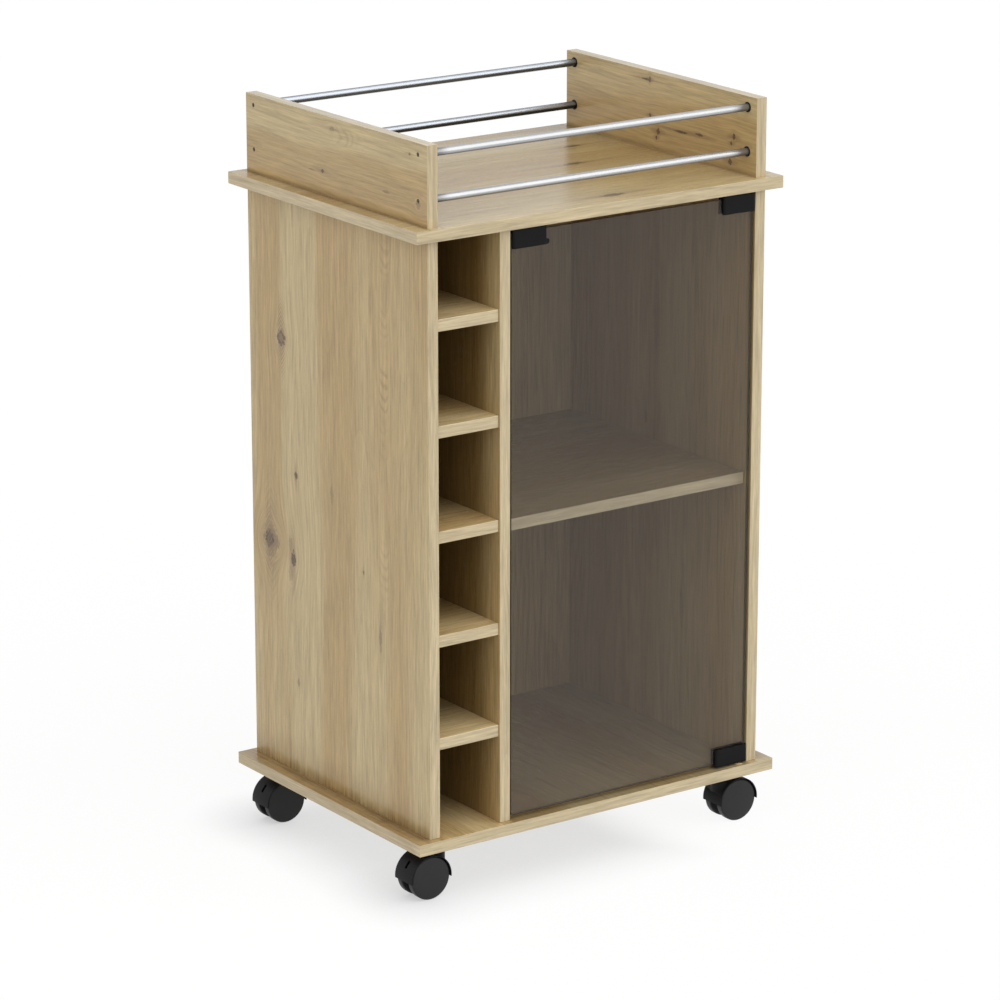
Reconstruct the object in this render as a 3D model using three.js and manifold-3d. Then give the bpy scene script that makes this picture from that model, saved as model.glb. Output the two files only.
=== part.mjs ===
// Bar cart on wheels: a six-place bottle rack and a glass-door cupboard between two wooden
// decks, with a railed tray on top and four twin-wheel swivel casters below.
//
// Millimetres, +Z up. The origin is on the floor under the middle of the decks, -Y is the
// front and +X is the right-hand side seen from the front.

import * as THREE from 'three';
import { mergeVertices } from 'three/addons/utils/BufferGeometryUtils.js';
import Module from 'manifold-3d';

const wasm = await Module();
wasm.setup();

// ---------------------------------------------------------------- driving dimensions

const BOARD = 15;                       // thickness of every faced board
const GAP = 0.3;                        // clearance between pieces that fit into each other
const EASE = 0.5;                       // clearance at the ends of loose shelves

const DECK_WIDTH = 542;                 // base board and top board
const DECK_DEPTH = 412;
const BASE_BOTTOM = 70;                 // mounting height of the casters

const CARCASS_WIDTH = 500;              // over both side panels
const CARCASS_FRONT = -197;
const CARCASS_BACK = 195;
const CARCASS_HEIGHT = 740;             // clear height between the decks

const BACK_PANEL = 3;                   // thin back panel, held in grooves in the side panels
const BACK_PANEL_INSET = 8;
const GROOVE_DEPTH = 6;
const GROOVE_WIDTH = 3.5;

const RACK_WIDTH = 88;                  // clear width of one bottle place
const RACK_SHELVES = 5;
const RACK_PITCH = 129.5;
const LOWEST_PLACE = 111;               // clear height under the lowest rack shelf
const RACK_SETBACK = 2.5;

const DOOR_SHELF_BOTTOM = 364;          // above the base board
const DOOR_SHELF_SETBACK = 14;
const SHELF_PIN_RADIUS = 2.5;
const SHELF_PIN_DEPTH = 8;              // inside the panel
const SHELF_PIN_REACH = 7.5;            // under the shelf
const SHELF_PIN_Y = { front: -120, back: 120 };

const GALLERY_HEIGHT = 98;              // boards that stand at both ends of the tray
const RAIL_RADIUS = 4.75;
const RAIL_HEIGHTS = { lower: 29.5, upper: 84.5 };     // above the tray
const RAIL_Y = { front: -178.5, back: 178.5 };
const RAIL_SOCKET = 8;                  // depth of the blind hole that a rail ends in
const RAIL_SOCKET_RADIUS = 5.25;
const TAPPED_DEPTH = 14;                // thread for a screw in each end of a rail
const SCREW_RADIUS = 1.5;
const SCREW_HEAD_RADIUS = 2.5;
const SCREW_HEAD = 1.5;
const SCREW_LENGTH = 19;
const SCREW_SUNK = 0.25;                // head below the outer face
const SCREW_RECESS = 1;                 // driver recess, both radius and depth

const GLASS = 5;                        // thickness of the door
const GLASS_FRONT = -196;
const GLASS_SIDE_GAP = 2;
const GLASS_TOP_GAP = 6;
const GLASS_BOTTOM_GAP = 5;
const GLASS_CORNER = 3;

const HINGE_INSET = 11;                 // pivot axis to the inner face of the right side panel
const CLIP_HEIGHT = 22.5;
const CLIP_LENGTH = 49.5;
const CLIP_CORNER = 3.25;
const CLIP_PROUD = 4;                   // in front of the glass
const CLIP_BEHIND = 3;                  // behind the glass
const CLIP_DECK_GAP = 2.5;              // between a clip and the deck next to it
const CLIP_WALL_GAP = 1.5;              // between a hinge clip and the side panel
const THUMB_TAB_RADIUS = 3.5;           // half-round tab on the strike clip
const PIVOT_RADIUS = 3;
const PIVOT_BORE = 3.1;
const BUSH_RADIUS = 4.7;
const BUSH_FLANGE_RADIUS = 7;
const BUSH_FLANGE = 1;
const BUSH_SOCKET = 8;
const COLLAR_RADIUS = 4.5;              // collar on a pivot pin, between clip and bush
const COLLAR = 0.8;
const PIN_REACH = 7.5;                  // pivot pin past the clip, before its tapered tip

const CATCH = { x: 40, y: 14, z: 13 };  // magnetic catch under the top board
const CATCH_FROM_EDGE = 5;              // from the free edge of the door
const CATCH_STRIKE_GAP = 1;
const CATCH_WALL = { x: 5, z: 2.5 };
const MAGNET_DEPTH = 8;
const MAGNET_PROUD = 0.5;

const CASTER_X = 219;                   // swivel axes
const CASTER_Y = 163;
const CASTER_TRAIL = 18;                // swivel axis to axle
const WHEEL_RADIUS = 27.5;
const WHEEL_OUTER_FACE = 18.5;          // from the middle of the caster
const WHEEL_INNER_FACE = 7;
const WHEEL_SEGMENTS = 40;
const HOOD_RADIUS = 29.5;
const HOOD_CLEARANCE = 0.8;             // between a wheel and the hood over it
const HOOD_BELOW_AXLE = 2.5;
const WEB_HALF = 5.5;
const WEB_END = 6;                      // past the axle, on the trailing side
const NECK_RADIUS = 11.5;
const NECK_BOTTOM = 40;
const SHOULDER_HALF = 9;                // block between the neck and the crown of the hood
const SHOULDER_DROP = 3;                // below the top of the neck
const PLATE_SIZE = 38;
const PLATE = 2;
const PLATE_CORNER = 4;
const KINGPIN_RADIUS = 4;
const KINGPIN = 14;                     // length below the plate
const AXLE_RADIUS = 3;
const AXLE_IN_WHEEL = 8.2;
const WHEEL_BORE = 3.1;
const WHEEL_BORE_DEPTH = 8.5;
const BOSS_RADIUS = 8;
const SLOT_ANGLE = 38;                  // slot in the back of the hood, up from the axle
const SLOT = { across: 4, along: 11, deep: 4 };

const ROUND = 20;                       // facets of small round pieces
const ROUND_SMALL = 12;                 // facets of screws and shelf pins

// ---------------------------------------------------------------- derived places

const baseTop = BASE_BOTTOM + BOARD;
const topDeckBottom = baseTop + CARCASS_HEIGHT;
const trayZ = topDeckBottom + BOARD;
const galleryTop = trayZ + GALLERY_HEIGHT;
const innerX = CARCASS_WIDTH / 2 - BOARD;
const outerX = CARCASS_WIDTH / 2;
const backPanelBack = CARCASS_BACK - BACK_PANEL_INSET;
const backPanelFront = backPanelBack - BACK_PANEL;
const dividerLeft = -innerX + RACK_WIDTH;
const dividerRight = dividerLeft + BOARD;
const glassBottom = baseTop + GLASS_BOTTOM_GAP;
const glassTop = topDeckBottom - GLASS_TOP_GAP;
const glassLeft = dividerRight + GLASS_SIDE_GAP;
const glassRight = innerX - GLASS_SIDE_GAP - EASE;
const hingeX = innerX - HINGE_INSET;
const hingeY = GLASS_FRONT + GLASS / 2;
const clipFront = GLASS_FRONT - CLIP_PROUD;
const clipBack = GLASS_FRONT + GLASS + CLIP_BEHIND;
const axleZ = WHEEL_RADIUS * Math.cos(Math.PI / WHEEL_SEGMENTS);   // a flat facet on the floor

// ---------------------------------------------------------------- materials

const finish = (color, roughness, metalness) =>
  new THREE.MeshStandardMaterial({ color, roughness, metalness });

const oak = finish(0xcbb48b, 0.55, 0);
const smokedGlass = finish(0x4a423b, 0.08, 0);
const chrome = finish(0xd8dadc, 0.12, 1);
const steel = finish(0xa9abad, 0.35, 1);
const blackPlastic = finish(0x232425, 0.5, 0);
const blackMetal = finish(0x2e3032, 0.45, 0.4);
const brass = finish(0xb99a52, 0.35, 1);
const magnetSteel = finish(0x77797c, 0.4, 1);

// ---------------------------------------------------------------- shape helpers

function boxBetween(x, y, z) {
  const box = new THREE.BoxGeometry(x[1] - x[0], y[1] - y[0], z[1] - z[0]);
  box.translate((x[0] + x[1]) / 2, (y[0] + y[1]) / 2, (z[0] + z[1]) / 2);
  return box;
}

// A round bar along Z, closed at both ends.
function barAlongZ(radius, z0, z1, segments = ROUND) {
  const bar = new THREE.CylinderGeometry(radius, radius, z1 - z0, segments);
  bar.rotateX(Math.PI / 2);
  bar.translate(0, 0, (z0 + z1) / 2);
  return bar;
}

function barAlongX(radius, x0, x1, segments = ROUND) {
  return barAlongZ(radius, x0, x1, segments).rotateY(Math.PI / 2);
}

function barAlongY(radius, y0, y1, segments = ROUND) {
  return barAlongZ(radius, y0, y1, segments).rotateX(-Math.PI / 2);
}

// Turns [radius, height] points about the Z axis, from the lowest height upwards.
function turned(profile, segments = ROUND) {
  const lathe = new THREE.LatheGeometry(profile.map(([r, h]) => new THREE.Vector2(r, h)), segments);
  return lathe.rotateX(Math.PI / 2);
}

function prism(outline, depth) {
  return new THREE.ExtrudeGeometry(outline, { depth, bevelEnabled: false, curveSegments: 6 });
}

// A rectangle with round corners, in the drawing plane of an extrusion.
function roundedRectangle(u, v, radii) {
  const [lowLeft, lowRight, topRight, topLeft] = radii;
  const outline = new THREE.Shape();
  outline.moveTo(u[0] + lowLeft, v[0]);
  outline.lineTo(u[1] - lowRight, v[0]);
  outline.absarc(u[1] - lowRight, v[0] + lowRight, lowRight, -Math.PI / 2, 0);
  outline.lineTo(u[1], v[1] - topRight);
  outline.absarc(u[1] - topRight, v[1] - topRight, topRight, 0, Math.PI / 2);
  outline.lineTo(u[0] + topLeft, v[1]);
  outline.absarc(u[0] + topLeft, v[1] - topLeft, topLeft, Math.PI / 2, Math.PI);
  outline.lineTo(u[0], v[0] + lowLeft);
  outline.absarc(u[0] + lowLeft, v[0] + lowLeft, lowLeft, Math.PI, 1.5 * Math.PI);
  return outline;
}

// ---------------------------------------------------------------- joins and cuts

function solid(geometry) {
  const bare = geometry.clone();
  bare.deleteAttribute('normal');
  bare.deleteAttribute('uv');
  const merged = mergeVertices(bare, 1e-4);
  const corners = merged.index.array;
  const triangles = [];
  for (let i = 0; i < corners.length; i += 3) {
    const [a, b, c] = corners.slice(i, i + 3);
    if (a !== b && b !== c && c !== a) triangles.push(a, b, c);
  }
  return new wasm.Manifold(new wasm.Mesh({
    numProp: 3,
    vertProperties: merged.attributes.position.array,
    triVerts: new Uint32Array(triangles),
  }));
}

function geometryOf(manifold) {
  const mesh = manifold.getMesh();
  const geometry = new THREE.BufferGeometry();
  geometry.setAttribute('position', new THREE.BufferAttribute(mesh.vertProperties, 3));
  geometry.setIndex(new THREE.BufferAttribute(mesh.triVerts, 1));
  const faceted = geometry.toNonIndexed();
  faceted.computeVertexNormals();
  return faceted;
}

function carve(body, cuts) {
  return geometryOf(cuts.reduce((left, cut) => left.subtract(solid(cut)), solid(body)));
}

function weld(pieces) {
  return geometryOf(pieces.map(solid).reduce((whole, piece) => whole.add(piece)));
}

// ---------------------------------------------------------------- the cart

const cart = new THREE.Group();

function add(name, geometry, material, parent = cart) {
  const mesh = new THREE.Mesh(geometry, material);
  mesh.name = name;
  parent.add(mesh);
  return mesh;
}

const deckX = [-DECK_WIDTH / 2, DECK_WIDTH / 2];
const deckY = [-DECK_DEPTH / 2, DECK_DEPTH / 2];
const carcassY = [CARCASS_FRONT, CARCASS_BACK];
const carcassZ = [baseTop, topDeckBottom];

function addDecks() {
  const bushHole = (z0, z1) => barAlongZ(BUSH_RADIUS + GAP, z0, z1).translate(hingeX, hingeY, 0);
  const base = boxBetween(deckX, deckY, [BASE_BOTTOM, baseTop]);
  const top = boxBetween(deckX, deckY, [topDeckBottom, trayZ]);
  add('base_board', carve(base, [bushHole(baseTop - BUSH_SOCKET, baseTop + 1)]), oak);
  add('top_board', carve(top, [bushHole(topDeckBottom - 1, topDeckBottom + BUSH_SOCKET)]), oak);
}

// A side panel drawn from above, with the groove for the back panel in its inner face.
function sidePanel(side) {
  const grooveY = backPanelBack + (GROOVE_WIDTH - BACK_PANEL) / 2;
  const outline = new THREE.Shape();
  outline.moveTo(side * innerX, CARCASS_FRONT);
  outline.lineTo(side * outerX, CARCASS_FRONT);
  outline.lineTo(side * outerX, CARCASS_BACK);
  outline.lineTo(side * innerX, CARCASS_BACK);
  outline.lineTo(side * innerX, grooveY);
  outline.lineTo(side * (innerX + GROOVE_DEPTH), grooveY);
  outline.lineTo(side * (innerX + GROOVE_DEPTH), grooveY - GROOVE_WIDTH);
  outline.lineTo(side * innerX, grooveY - GROOVE_WIDTH);
  outline.closePath();
  return prism(outline, CARCASS_HEIGHT).translate(0, 0, baseTop);
}

const shelfPinZ = baseTop + DOOR_SHELF_BOTTOM - SHELF_PIN_RADIUS - GAP;

// Blind holes for the shelf pins, going into a panel from its face.
function shelfPinHoles(face, into) {
  const reach = [face - into, face + into * (SHELF_PIN_DEPTH + EASE)].sort((a, b) => a - b);
  return Object.values(SHELF_PIN_Y)
    .map((y) => barAlongX(SHELF_PIN_RADIUS + GAP, ...reach, ROUND_SMALL).translate(0, y, shelfPinZ));
}

function addCarcass() {
  add('side_panel_left', sidePanel(-1), oak);
  add('side_panel_right', carve(sidePanel(1), shelfPinHoles(innerX, 1)), oak);
  const divider = boxBetween([dividerLeft, dividerRight], [CARCASS_FRONT, backPanelFront], carcassZ);
  add('divider_panel', carve(divider, shelfPinHoles(dividerRight, -1)), oak);
  const halfBack = innerX + GROOVE_DEPTH - EASE;
  add('back_panel', boxBetween([-halfBack, halfBack], [backPanelFront, backPanelBack], carcassZ), oak);
}

function addRackShelves() {
  const lowest = baseTop + LOWEST_PLACE;
  for (let i = 1; i <= RACK_SHELVES; i += 1) {
    const bottom = lowest + (RACK_SHELVES - i) * RACK_PITCH;
    const y = [CARCASS_FRONT + RACK_SETBACK, backPanelFront];
    add(`rack_shelf_${i}`, boxBetween([-innerX, dividerLeft], y, [bottom, bottom + BOARD]), oak);
  }
}

// The cupboard's shelf lies loose on four steel pins.
function addDoorShelf() {
  const bottom = baseTop + DOOR_SHELF_BOTTOM;
  const x = [dividerRight + EASE, innerX - EASE];
  const y = [CARCASS_FRONT + DOOR_SHELF_SETBACK, backPanelFront - EASE];
  add('door_shelf', boxBetween(x, y, [bottom, bottom + BOARD]), oak);
  const pin = [
    [0, -SHELF_PIN_DEPTH], [SHELF_PIN_RADIUS, -SHELF_PIN_DEPTH],
    [SHELF_PIN_RADIUS, SHELF_PIN_REACH - 0.5], [SHELF_PIN_RADIUS - 0.5, SHELF_PIN_REACH],
    [0, SHELF_PIN_REACH],
  ];
  for (const [sideName, face, into] of [['left', dividerRight, 1], ['right', innerX, -1]]) {
    for (const [endName, y0] of Object.entries(SHELF_PIN_Y)) {
      const shape = turned(pin, ROUND_SMALL).rotateY(into * Math.PI / 2);
      const mesh = add(`shelf_pin_${endName}_${sideName}`, shape, steel);
      mesh.position.set(face, y0, shelfPinZ);
    }
  }
}

// ---------------------------------------------------------------- tray gallery

function railPlaces() {
  const places = [];
  for (const [end, y] of Object.entries(RAIL_Y)) {
    for (const [level, height] of Object.entries(RAIL_HEIGHTS)) {
      places.push({ end, level, y, z: trayZ + height });
    }
  }
  return places;
}

// A gallery board stands on the tray. Each rail ends in a blind hole in its inner face, and a
// small countersunk screw comes through from outside.
function galleryBoard(side) {
  const x = [side * innerX, side * outerX].sort((a, b) => a - b);
  const along = (radius, from, to, facets) => {
    const ends = [side * from, side * to].sort((a, b) => a - b);
    return barAlongX(radius, ...ends, facets);
  };
  const headSeat = outerX - SCREW_HEAD - SCREW_SUNK - GAP;
  const cuts = [];
  for (const { y, z } of railPlaces()) {
    const holes = [
      along(RAIL_SOCKET_RADIUS, innerX - 1, innerX + RAIL_SOCKET, ROUND),
      along(SCREW_RADIUS + GAP, innerX, outerX + 1, ROUND_SMALL),
      along(SCREW_HEAD_RADIUS + GAP, headSeat, outerX + 1, ROUND_SMALL),
    ];
    cuts.push(...holes.map((hole) => hole.translate(0, y, z)));
  }
  return carve(boxBetween(x, carcassY, [trayZ, galleryTop]), cuts);
}

function rail() {
  const half = innerX + RAIL_SOCKET - GAP;
  const bore = SCREW_RADIUS + GAP;
  const rod = turned([
    [0, -half + TAPPED_DEPTH], [bore, -half + TAPPED_DEPTH], [bore, -half], [RAIL_RADIUS, -half],
    [RAIL_RADIUS, half], [bore, half], [bore, half - TAPPED_DEPTH], [0, half - TAPPED_DEPTH],
  ]);
  return rod.rotateY(Math.PI / 2);
}

function railScrew(side) {
  const head = outerX - SCREW_SUNK;
  const screw = turned([
    [0, head - SCREW_LENGTH], [SCREW_RADIUS, head - SCREW_LENGTH + 1],
    [SCREW_RADIUS, head - SCREW_HEAD], [SCREW_HEAD_RADIUS, head - SCREW_HEAD / 3],
    [SCREW_HEAD_RADIUS, head], [SCREW_RECESS, head], [SCREW_RECESS, head - SCREW_RECESS],
    [0, head - SCREW_RECESS],
  ], ROUND_SMALL);
  return screw.rotateY(side * Math.PI / 2);
}

function addGallery() {
  add('gallery_board_left', galleryBoard(-1), oak);
  add('gallery_board_right', galleryBoard(1), oak);
  for (const { end, level, y, z } of railPlaces()) {
    add(`rail_${end}_${level}`, rail(), chrome).position.set(0, y, z);
    for (const [sideName, side] of [['left', -1], ['right', 1]]) {
      add(`rail_screw_${end}_${level}_${sideName}`, railScrew(side), steel).position.set(0, y, z);
    }
  }
}

// ---------------------------------------------------------------- glass door

function glassDoor() {
  const corners = Array(4).fill(GLASS_CORNER);
  const outline = roundedRectangle([glassLeft, glassRight], [glassBottom, glassTop], corners);
  return prism(outline, GLASS).rotateX(Math.PI / 2).translate(0, GLASS_FRONT + GLASS, 0);
}

// A clip is a block with a slot that the edge of the glass stands in. It is drawn for the top
// edge: the slot opens downwards. atTop false gives the one for the bottom edge.
function clip(x, atTop, pivotX) {
  const outer = atTop ? topDeckBottom - CLIP_DECK_GAP : baseTop + CLIP_DECK_GAP;
  const inner = atTop ? outer - CLIP_HEIGHT : outer + CLIP_HEIGHT;
  const glassEdge = atTop ? glassTop + GAP : glassBottom - GAP;
  const plan = roundedRectangle(x, [clipFront, clipBack], [CLIP_CORNER, CLIP_CORNER, 1.5, 1.5]);
  const low = Math.min(outer, inner);
  const block = prism(plan, CLIP_HEIGHT).translate(0, 0, low);
  const slotY = [GLASS_FRONT - GAP, GLASS_FRONT + GLASS + GAP];
  const slotZ = [glassEdge, atTop ? inner - 1 : inner + 1].sort((a, b) => a - b);
  const cuts = [boxBetween([x[0] - 1, x[1] + 1], slotY, slotZ)];
  if (pivotX !== undefined) {
    const webZ = [glassEdge, outer].sort((a, b) => a - b);
    cuts.push(barAlongZ(PIVOT_RADIUS + GAP, webZ[0] - 1, webZ[1] + 1).translate(pivotX, hingeY, 0));
  }
  return carve(block, cuts);
}

// The strike clip carries a small thumb tab at its free lower corner.
function strikeClip(x) {
  const tabZ = topDeckBottom - CLIP_DECK_GAP - CLIP_HEIGHT + THUMB_TAB_RADIUS;
  const tab = barAlongY(THUMB_TAB_RADIUS, clipFront + EASE, GLASS_FRONT - 2 * GAP);
  return weld([clip(x, true), tab.translate(x[1] - EASE, 0, tabZ)]);
}

// A pivot pin: one end in the clip's web, a collar over the web, the other end in the bush.
function pivotPin(up) {
  const foot = up > 0 ? glassTop + 2 * GAP : -(glassBottom - 2 * GAP);
  const web = up > 0 ? topDeckBottom - CLIP_DECK_GAP : -(baseTop + CLIP_DECK_GAP);
  const pin = turned([
    [0, foot], [PIVOT_RADIUS, foot], [PIVOT_RADIUS, web + GAP], [COLLAR_RADIUS, web + GAP],
    [COLLAR_RADIUS, web + GAP + COLLAR], [PIVOT_RADIUS, web + GAP + COLLAR],
    [PIVOT_RADIUS, web + PIN_REACH], [PIVOT_RADIUS - COLLAR, web + PIN_REACH + COLLAR],
    [0, web + PIN_REACH + COLLAR],
  ]);
  return up > 0 ? pin : pin.rotateX(Math.PI);
}

function pivotBush(up) {
  const face = up > 0 ? topDeckBottom : -baseTop;
  const bush = turned([
    [PIVOT_BORE, face - BUSH_FLANGE], [BUSH_FLANGE_RADIUS, face - BUSH_FLANGE],
    [BUSH_FLANGE_RADIUS, face], [BUSH_RADIUS, face],
    [BUSH_RADIUS, face + BUSH_SOCKET - GAP], [PIVOT_BORE, face + BUSH_SOCKET - GAP],
    [PIVOT_BORE, face - BUSH_FLANGE],
  ]);
  return up > 0 ? bush : bush.rotateX(Math.PI);
}

function addDoor() {
  add('glass_door', glassDoor(), smokedGlass);
  const hingeClipX = [innerX - CLIP_WALL_GAP - CLIP_LENGTH, innerX - CLIP_WALL_GAP];
  const strikeX = [glassLeft + EASE, glassLeft + EASE + CLIP_LENGTH];
  add('hinge_clip_top', clip(hingeClipX, true, hingeX), blackMetal);
  add('hinge_clip_bottom', clip(hingeClipX, false, hingeX), blackMetal);
  add('strike_clip', strikeClip(strikeX), blackMetal);
  for (const [name, up] of [['top', 1], ['bottom', -1]]) {
    add(`pivot_pin_${name}`, pivotPin(up), steel).position.set(hingeX, hingeY, 0);
    add(`pivot_bush_${name}`, pivotBush(up), brass).position.set(hingeX, hingeY, 0);
  }
}

// The magnetic catch hangs under the top board, just behind the strike clip.
function addCatch() {
  const x = [glassLeft + CATCH_FROM_EDGE, glassLeft + CATCH_FROM_EDGE + CATCH.x];
  const y = [clipBack + CATCH_STRIKE_GAP, clipBack + CATCH_STRIKE_GAP + CATCH.y];
  const z = [topDeckBottom - CATCH.z, topDeckBottom];
  const pocketX = [x[0] + CATCH_WALL.x, x[1] - CATCH_WALL.x];
  const pocketZ = [z[0] + CATCH_WALL.z, z[1] - CATCH_WALL.z];
  const pocket = boxBetween(pocketX, [y[0] - 1, y[0] + MAGNET_DEPTH], pocketZ);
  add('catch_housing', carve(boxBetween(x, y, z), [pocket]), blackPlastic);
  const magnet = boxBetween(
    [pocketX[0] + GAP, pocketX[1] - GAP],
    [y[0] - MAGNET_PROUD, y[0] + MAGNET_DEPTH - GAP],
    [pocketZ[0] + GAP, pocketZ[1] - GAP],
  );
  add('catch_magnet', magnet, magnetSteel);
}

// ---------------------------------------------------------------- casters

// Each caster is drawn about its swivel axis, with the axle on the -X side.

function casterPlate() {
  const half = PLATE_SIZE / 2;
  const outline = roundedRectangle([-half, half], [-half, half], Array(4).fill(PLATE_CORNER));
  const plate = prism(outline, PLATE).translate(0, 0, BASE_BOTTOM - PLATE);
  const kingpin = barAlongZ(KINGPIN_RADIUS, BASE_BOTTOM - PLATE - KINGPIN, BASE_BOTTOM - PLATE / 2);
  return weld([plate, kingpin]);
}

// The hood covers both wheels down to just below the axle. A web between them carries the
// axle, and the neck beside them turns on the plate's kingpin. Behind the axle the hood is a
// hollow shell with a slot in it.
function casterHousing() {
  const axle = (shape) => shape.translate(-CASTER_TRAIL, 0, axleZ);
  const hoodEnd = axleZ - HOOD_BELOW_AXLE;
  const past = WHEEL_OUTER_FACE + 2;
  const drum = axle(barAlongY(HOOD_RADIUS, -WHEEL_OUTER_FACE, WHEEL_OUTER_FACE, WHEEL_SEGMENTS));
  const below = boxBetween([-60, 20], [-past, past], [-10, hoodEnd]);
  const neckTop = BASE_BOTTOM - PLATE - EASE;
  const neck = barAlongZ(NECK_RADIUS, NECK_BOTTOM, neckTop, 32);
  const shoulderY = [-SHOULDER_HALF, SHOULDER_HALF];
  const shoulder = boxBetween([-CASTER_TRAIL, 0], shoulderY, [NECK_BOTTOM, neckTop - SHOULDER_DROP]);
  const shell = solid(drum).subtract(solid(below)).add(solid(neck)).add(solid(shoulder));

  const pocketRadius = WHEEL_RADIUS + HOOD_CLEARANCE;
  const pocket = (y0, y1) => solid(axle(barAlongY(pocketRadius, y0, y1, WHEEL_SEGMENTS)));
  const behind = solid(boxBetween([-60, -CASTER_TRAIL - WEB_END], [-past, past], [-10, BASE_BOTTOM]));
  const hollow = pocket(-WEB_HALF - 1, WEB_HALF + 1).intersect(behind);
  const boss = solid(axle(barAlongY(BOSS_RADIUS, -WEB_HALF, WEB_HALF)));
  const boreBottom = BASE_BOTTOM - PLATE - KINGPIN - 1;
  const kingpinBore = solid(barAlongZ(KINGPIN_RADIUS + GAP, boreBottom, BASE_BOTTOM));
  const axleBore = solid(axle(barAlongY(AXLE_RADIUS + GAP, -past, past)));
  const slot = boxBetween(
    [-HOOD_RADIUS - 2, -HOOD_RADIUS + SLOT.deep],
    [-SLOT.across / 2, SLOT.across / 2],
    [-SLOT.along / 2, SLOT.along / 2],
  );
  slot.rotateY(THREE.MathUtils.degToRad(SLOT_ANGLE));

  return geometryOf(shell
    .subtract(pocket(WEB_HALF, past))
    .subtract(pocket(-past, -WEB_HALF))
    .subtract(hollow)
    .add(boss)
    .subtract(kingpinBore)
    .subtract(axleBore)
    .subtract(solid(axle(slot))));
}

function casterWheel(side) {
  const boreEnd = WHEEL_INNER_FACE + WHEEL_BORE_DEPTH;
  const profile = [
    [0, boreEnd], [WHEEL_BORE, boreEnd], [WHEEL_BORE, WHEEL_INNER_FACE],
    [WHEEL_RADIUS - 1, WHEEL_INNER_FACE], [WHEEL_RADIUS, WHEEL_INNER_FACE + 1],
    [WHEEL_RADIUS, WHEEL_OUTER_FACE - 1.25], [WHEEL_RADIUS - 1, WHEEL_OUTER_FACE - 0.35],
    [0, WHEEL_OUTER_FACE],
  ];
  const wheel = turned(profile, WHEEL_SEGMENTS).rotateZ(Math.PI / WHEEL_SEGMENTS);
  return wheel.rotateX(side * Math.PI / 2);
}

function addCaster(corner, x, y) {
  const caster = new THREE.Group();
  caster.position.set(x, y, 0);
  caster.rotation.z = x > 0 ? Math.PI : 0;
  cart.add(caster);
  add(`caster_${corner}_plate`, casterPlate(), steel, caster);
  add(`caster_${corner}_housing`, casterHousing(), blackPlastic, caster);
  const axleEnd = WHEEL_INNER_FACE + AXLE_IN_WHEEL;
  const axle = add(`caster_${corner}_axle`, barAlongY(AXLE_RADIUS, -axleEnd, axleEnd), steel, caster);
  axle.position.set(-CASTER_TRAIL, 0, axleZ);
  const facing = x > 0 ? -1 : 1;
  for (const [name, side] of [['front', 1], ['back', -1]]) {
    const wheel = add(`caster_${corner}_wheel_${name}`, casterWheel(side * facing), blackPlastic, caster);
    wheel.position.set(-CASTER_TRAIL, 0, axleZ);
  }
}

function addCasters() {
  for (const [sideName, x] of [['left', -CASTER_X], ['right', CASTER_X]]) {
    for (const [endName, y] of [['front', -CASTER_Y], ['back', CASTER_Y]]) {
      addCaster(`${endName}_${sideName}`, x, y);
    }
  }
}

addDecks();
addCarcass();
addRackShelves();
addDoorShelf();
addGallery();
addDoor();
addCatch();
addCasters();

export default cart;
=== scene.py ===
# Bar cart: two oak decks, a six-place bottle rack, a cupboard behind a smoked glass door, a
# railed tray and four twin-wheel casters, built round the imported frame.
#
# Metres, +Z up, -Y is the front. Every piece has its place in its mesh.

import math
import random
from typing import NamedTuple

import bmesh
import bpy
from bpy.props import FloatProperty, FloatVectorProperty, IntProperty, PointerProperty
from mathutils import Euler, Matrix, Vector


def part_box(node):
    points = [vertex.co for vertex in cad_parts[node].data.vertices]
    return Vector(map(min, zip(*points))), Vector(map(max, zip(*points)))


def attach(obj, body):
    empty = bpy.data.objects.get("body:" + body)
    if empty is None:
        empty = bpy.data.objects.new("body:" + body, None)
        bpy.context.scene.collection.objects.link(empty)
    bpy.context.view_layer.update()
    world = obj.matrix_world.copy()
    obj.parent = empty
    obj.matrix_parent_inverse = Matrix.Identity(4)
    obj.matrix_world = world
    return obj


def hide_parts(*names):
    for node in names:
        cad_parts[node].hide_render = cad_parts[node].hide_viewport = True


bl_info = {
    "name": "Bar cart",
    "version": (1, 0, 0),
    "blender": (4, 5, 0),
    "location": "View3D > Sidebar > Bar cart",
    "description": "Builds a bar cart on wheels with its stage",
    "category": "Add Mesh",
}

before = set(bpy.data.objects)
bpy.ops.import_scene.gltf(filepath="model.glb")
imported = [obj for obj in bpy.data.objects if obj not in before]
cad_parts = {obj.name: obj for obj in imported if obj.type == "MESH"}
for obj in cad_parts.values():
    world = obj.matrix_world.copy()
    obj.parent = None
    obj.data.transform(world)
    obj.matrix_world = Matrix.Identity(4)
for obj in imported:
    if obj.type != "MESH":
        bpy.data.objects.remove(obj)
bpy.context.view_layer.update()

MM = 0.001
X, Y, Z = 0, 1, 2
QUARTER_TURN = math.pi / 2
SHARP_ANGLE = math.radians(35)
FLAT_ANGLE = math.radians(0.4)
STRAIGHT_ANGLE = math.radians(88)
WELD_DISTANCE = 0.004 * MM
ON_AXIS = 0.0001 * MM
LONGEST_CUT = 0.49

# How far apart the faces of one board lie on the grain map.
EDGE_PART = 0.31
EDGE_PART_STEP = 0.17
FAR_FACE_PART = 0.53


# ---------------------------------------------------------------- node trees

def math_method(operation, reflected=False):
    """A method that adds one Math node; a reflected one swaps the two terms."""

    def method(self, *terms):
        terms = (*terms, self) if reflected else (self, *terms)
        inputs = dict(zip(("Value", "Value_001"), terms))
        return self.maker.add("ShaderNodeMath", {"operation": operation}, inputs)

    return method


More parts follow.
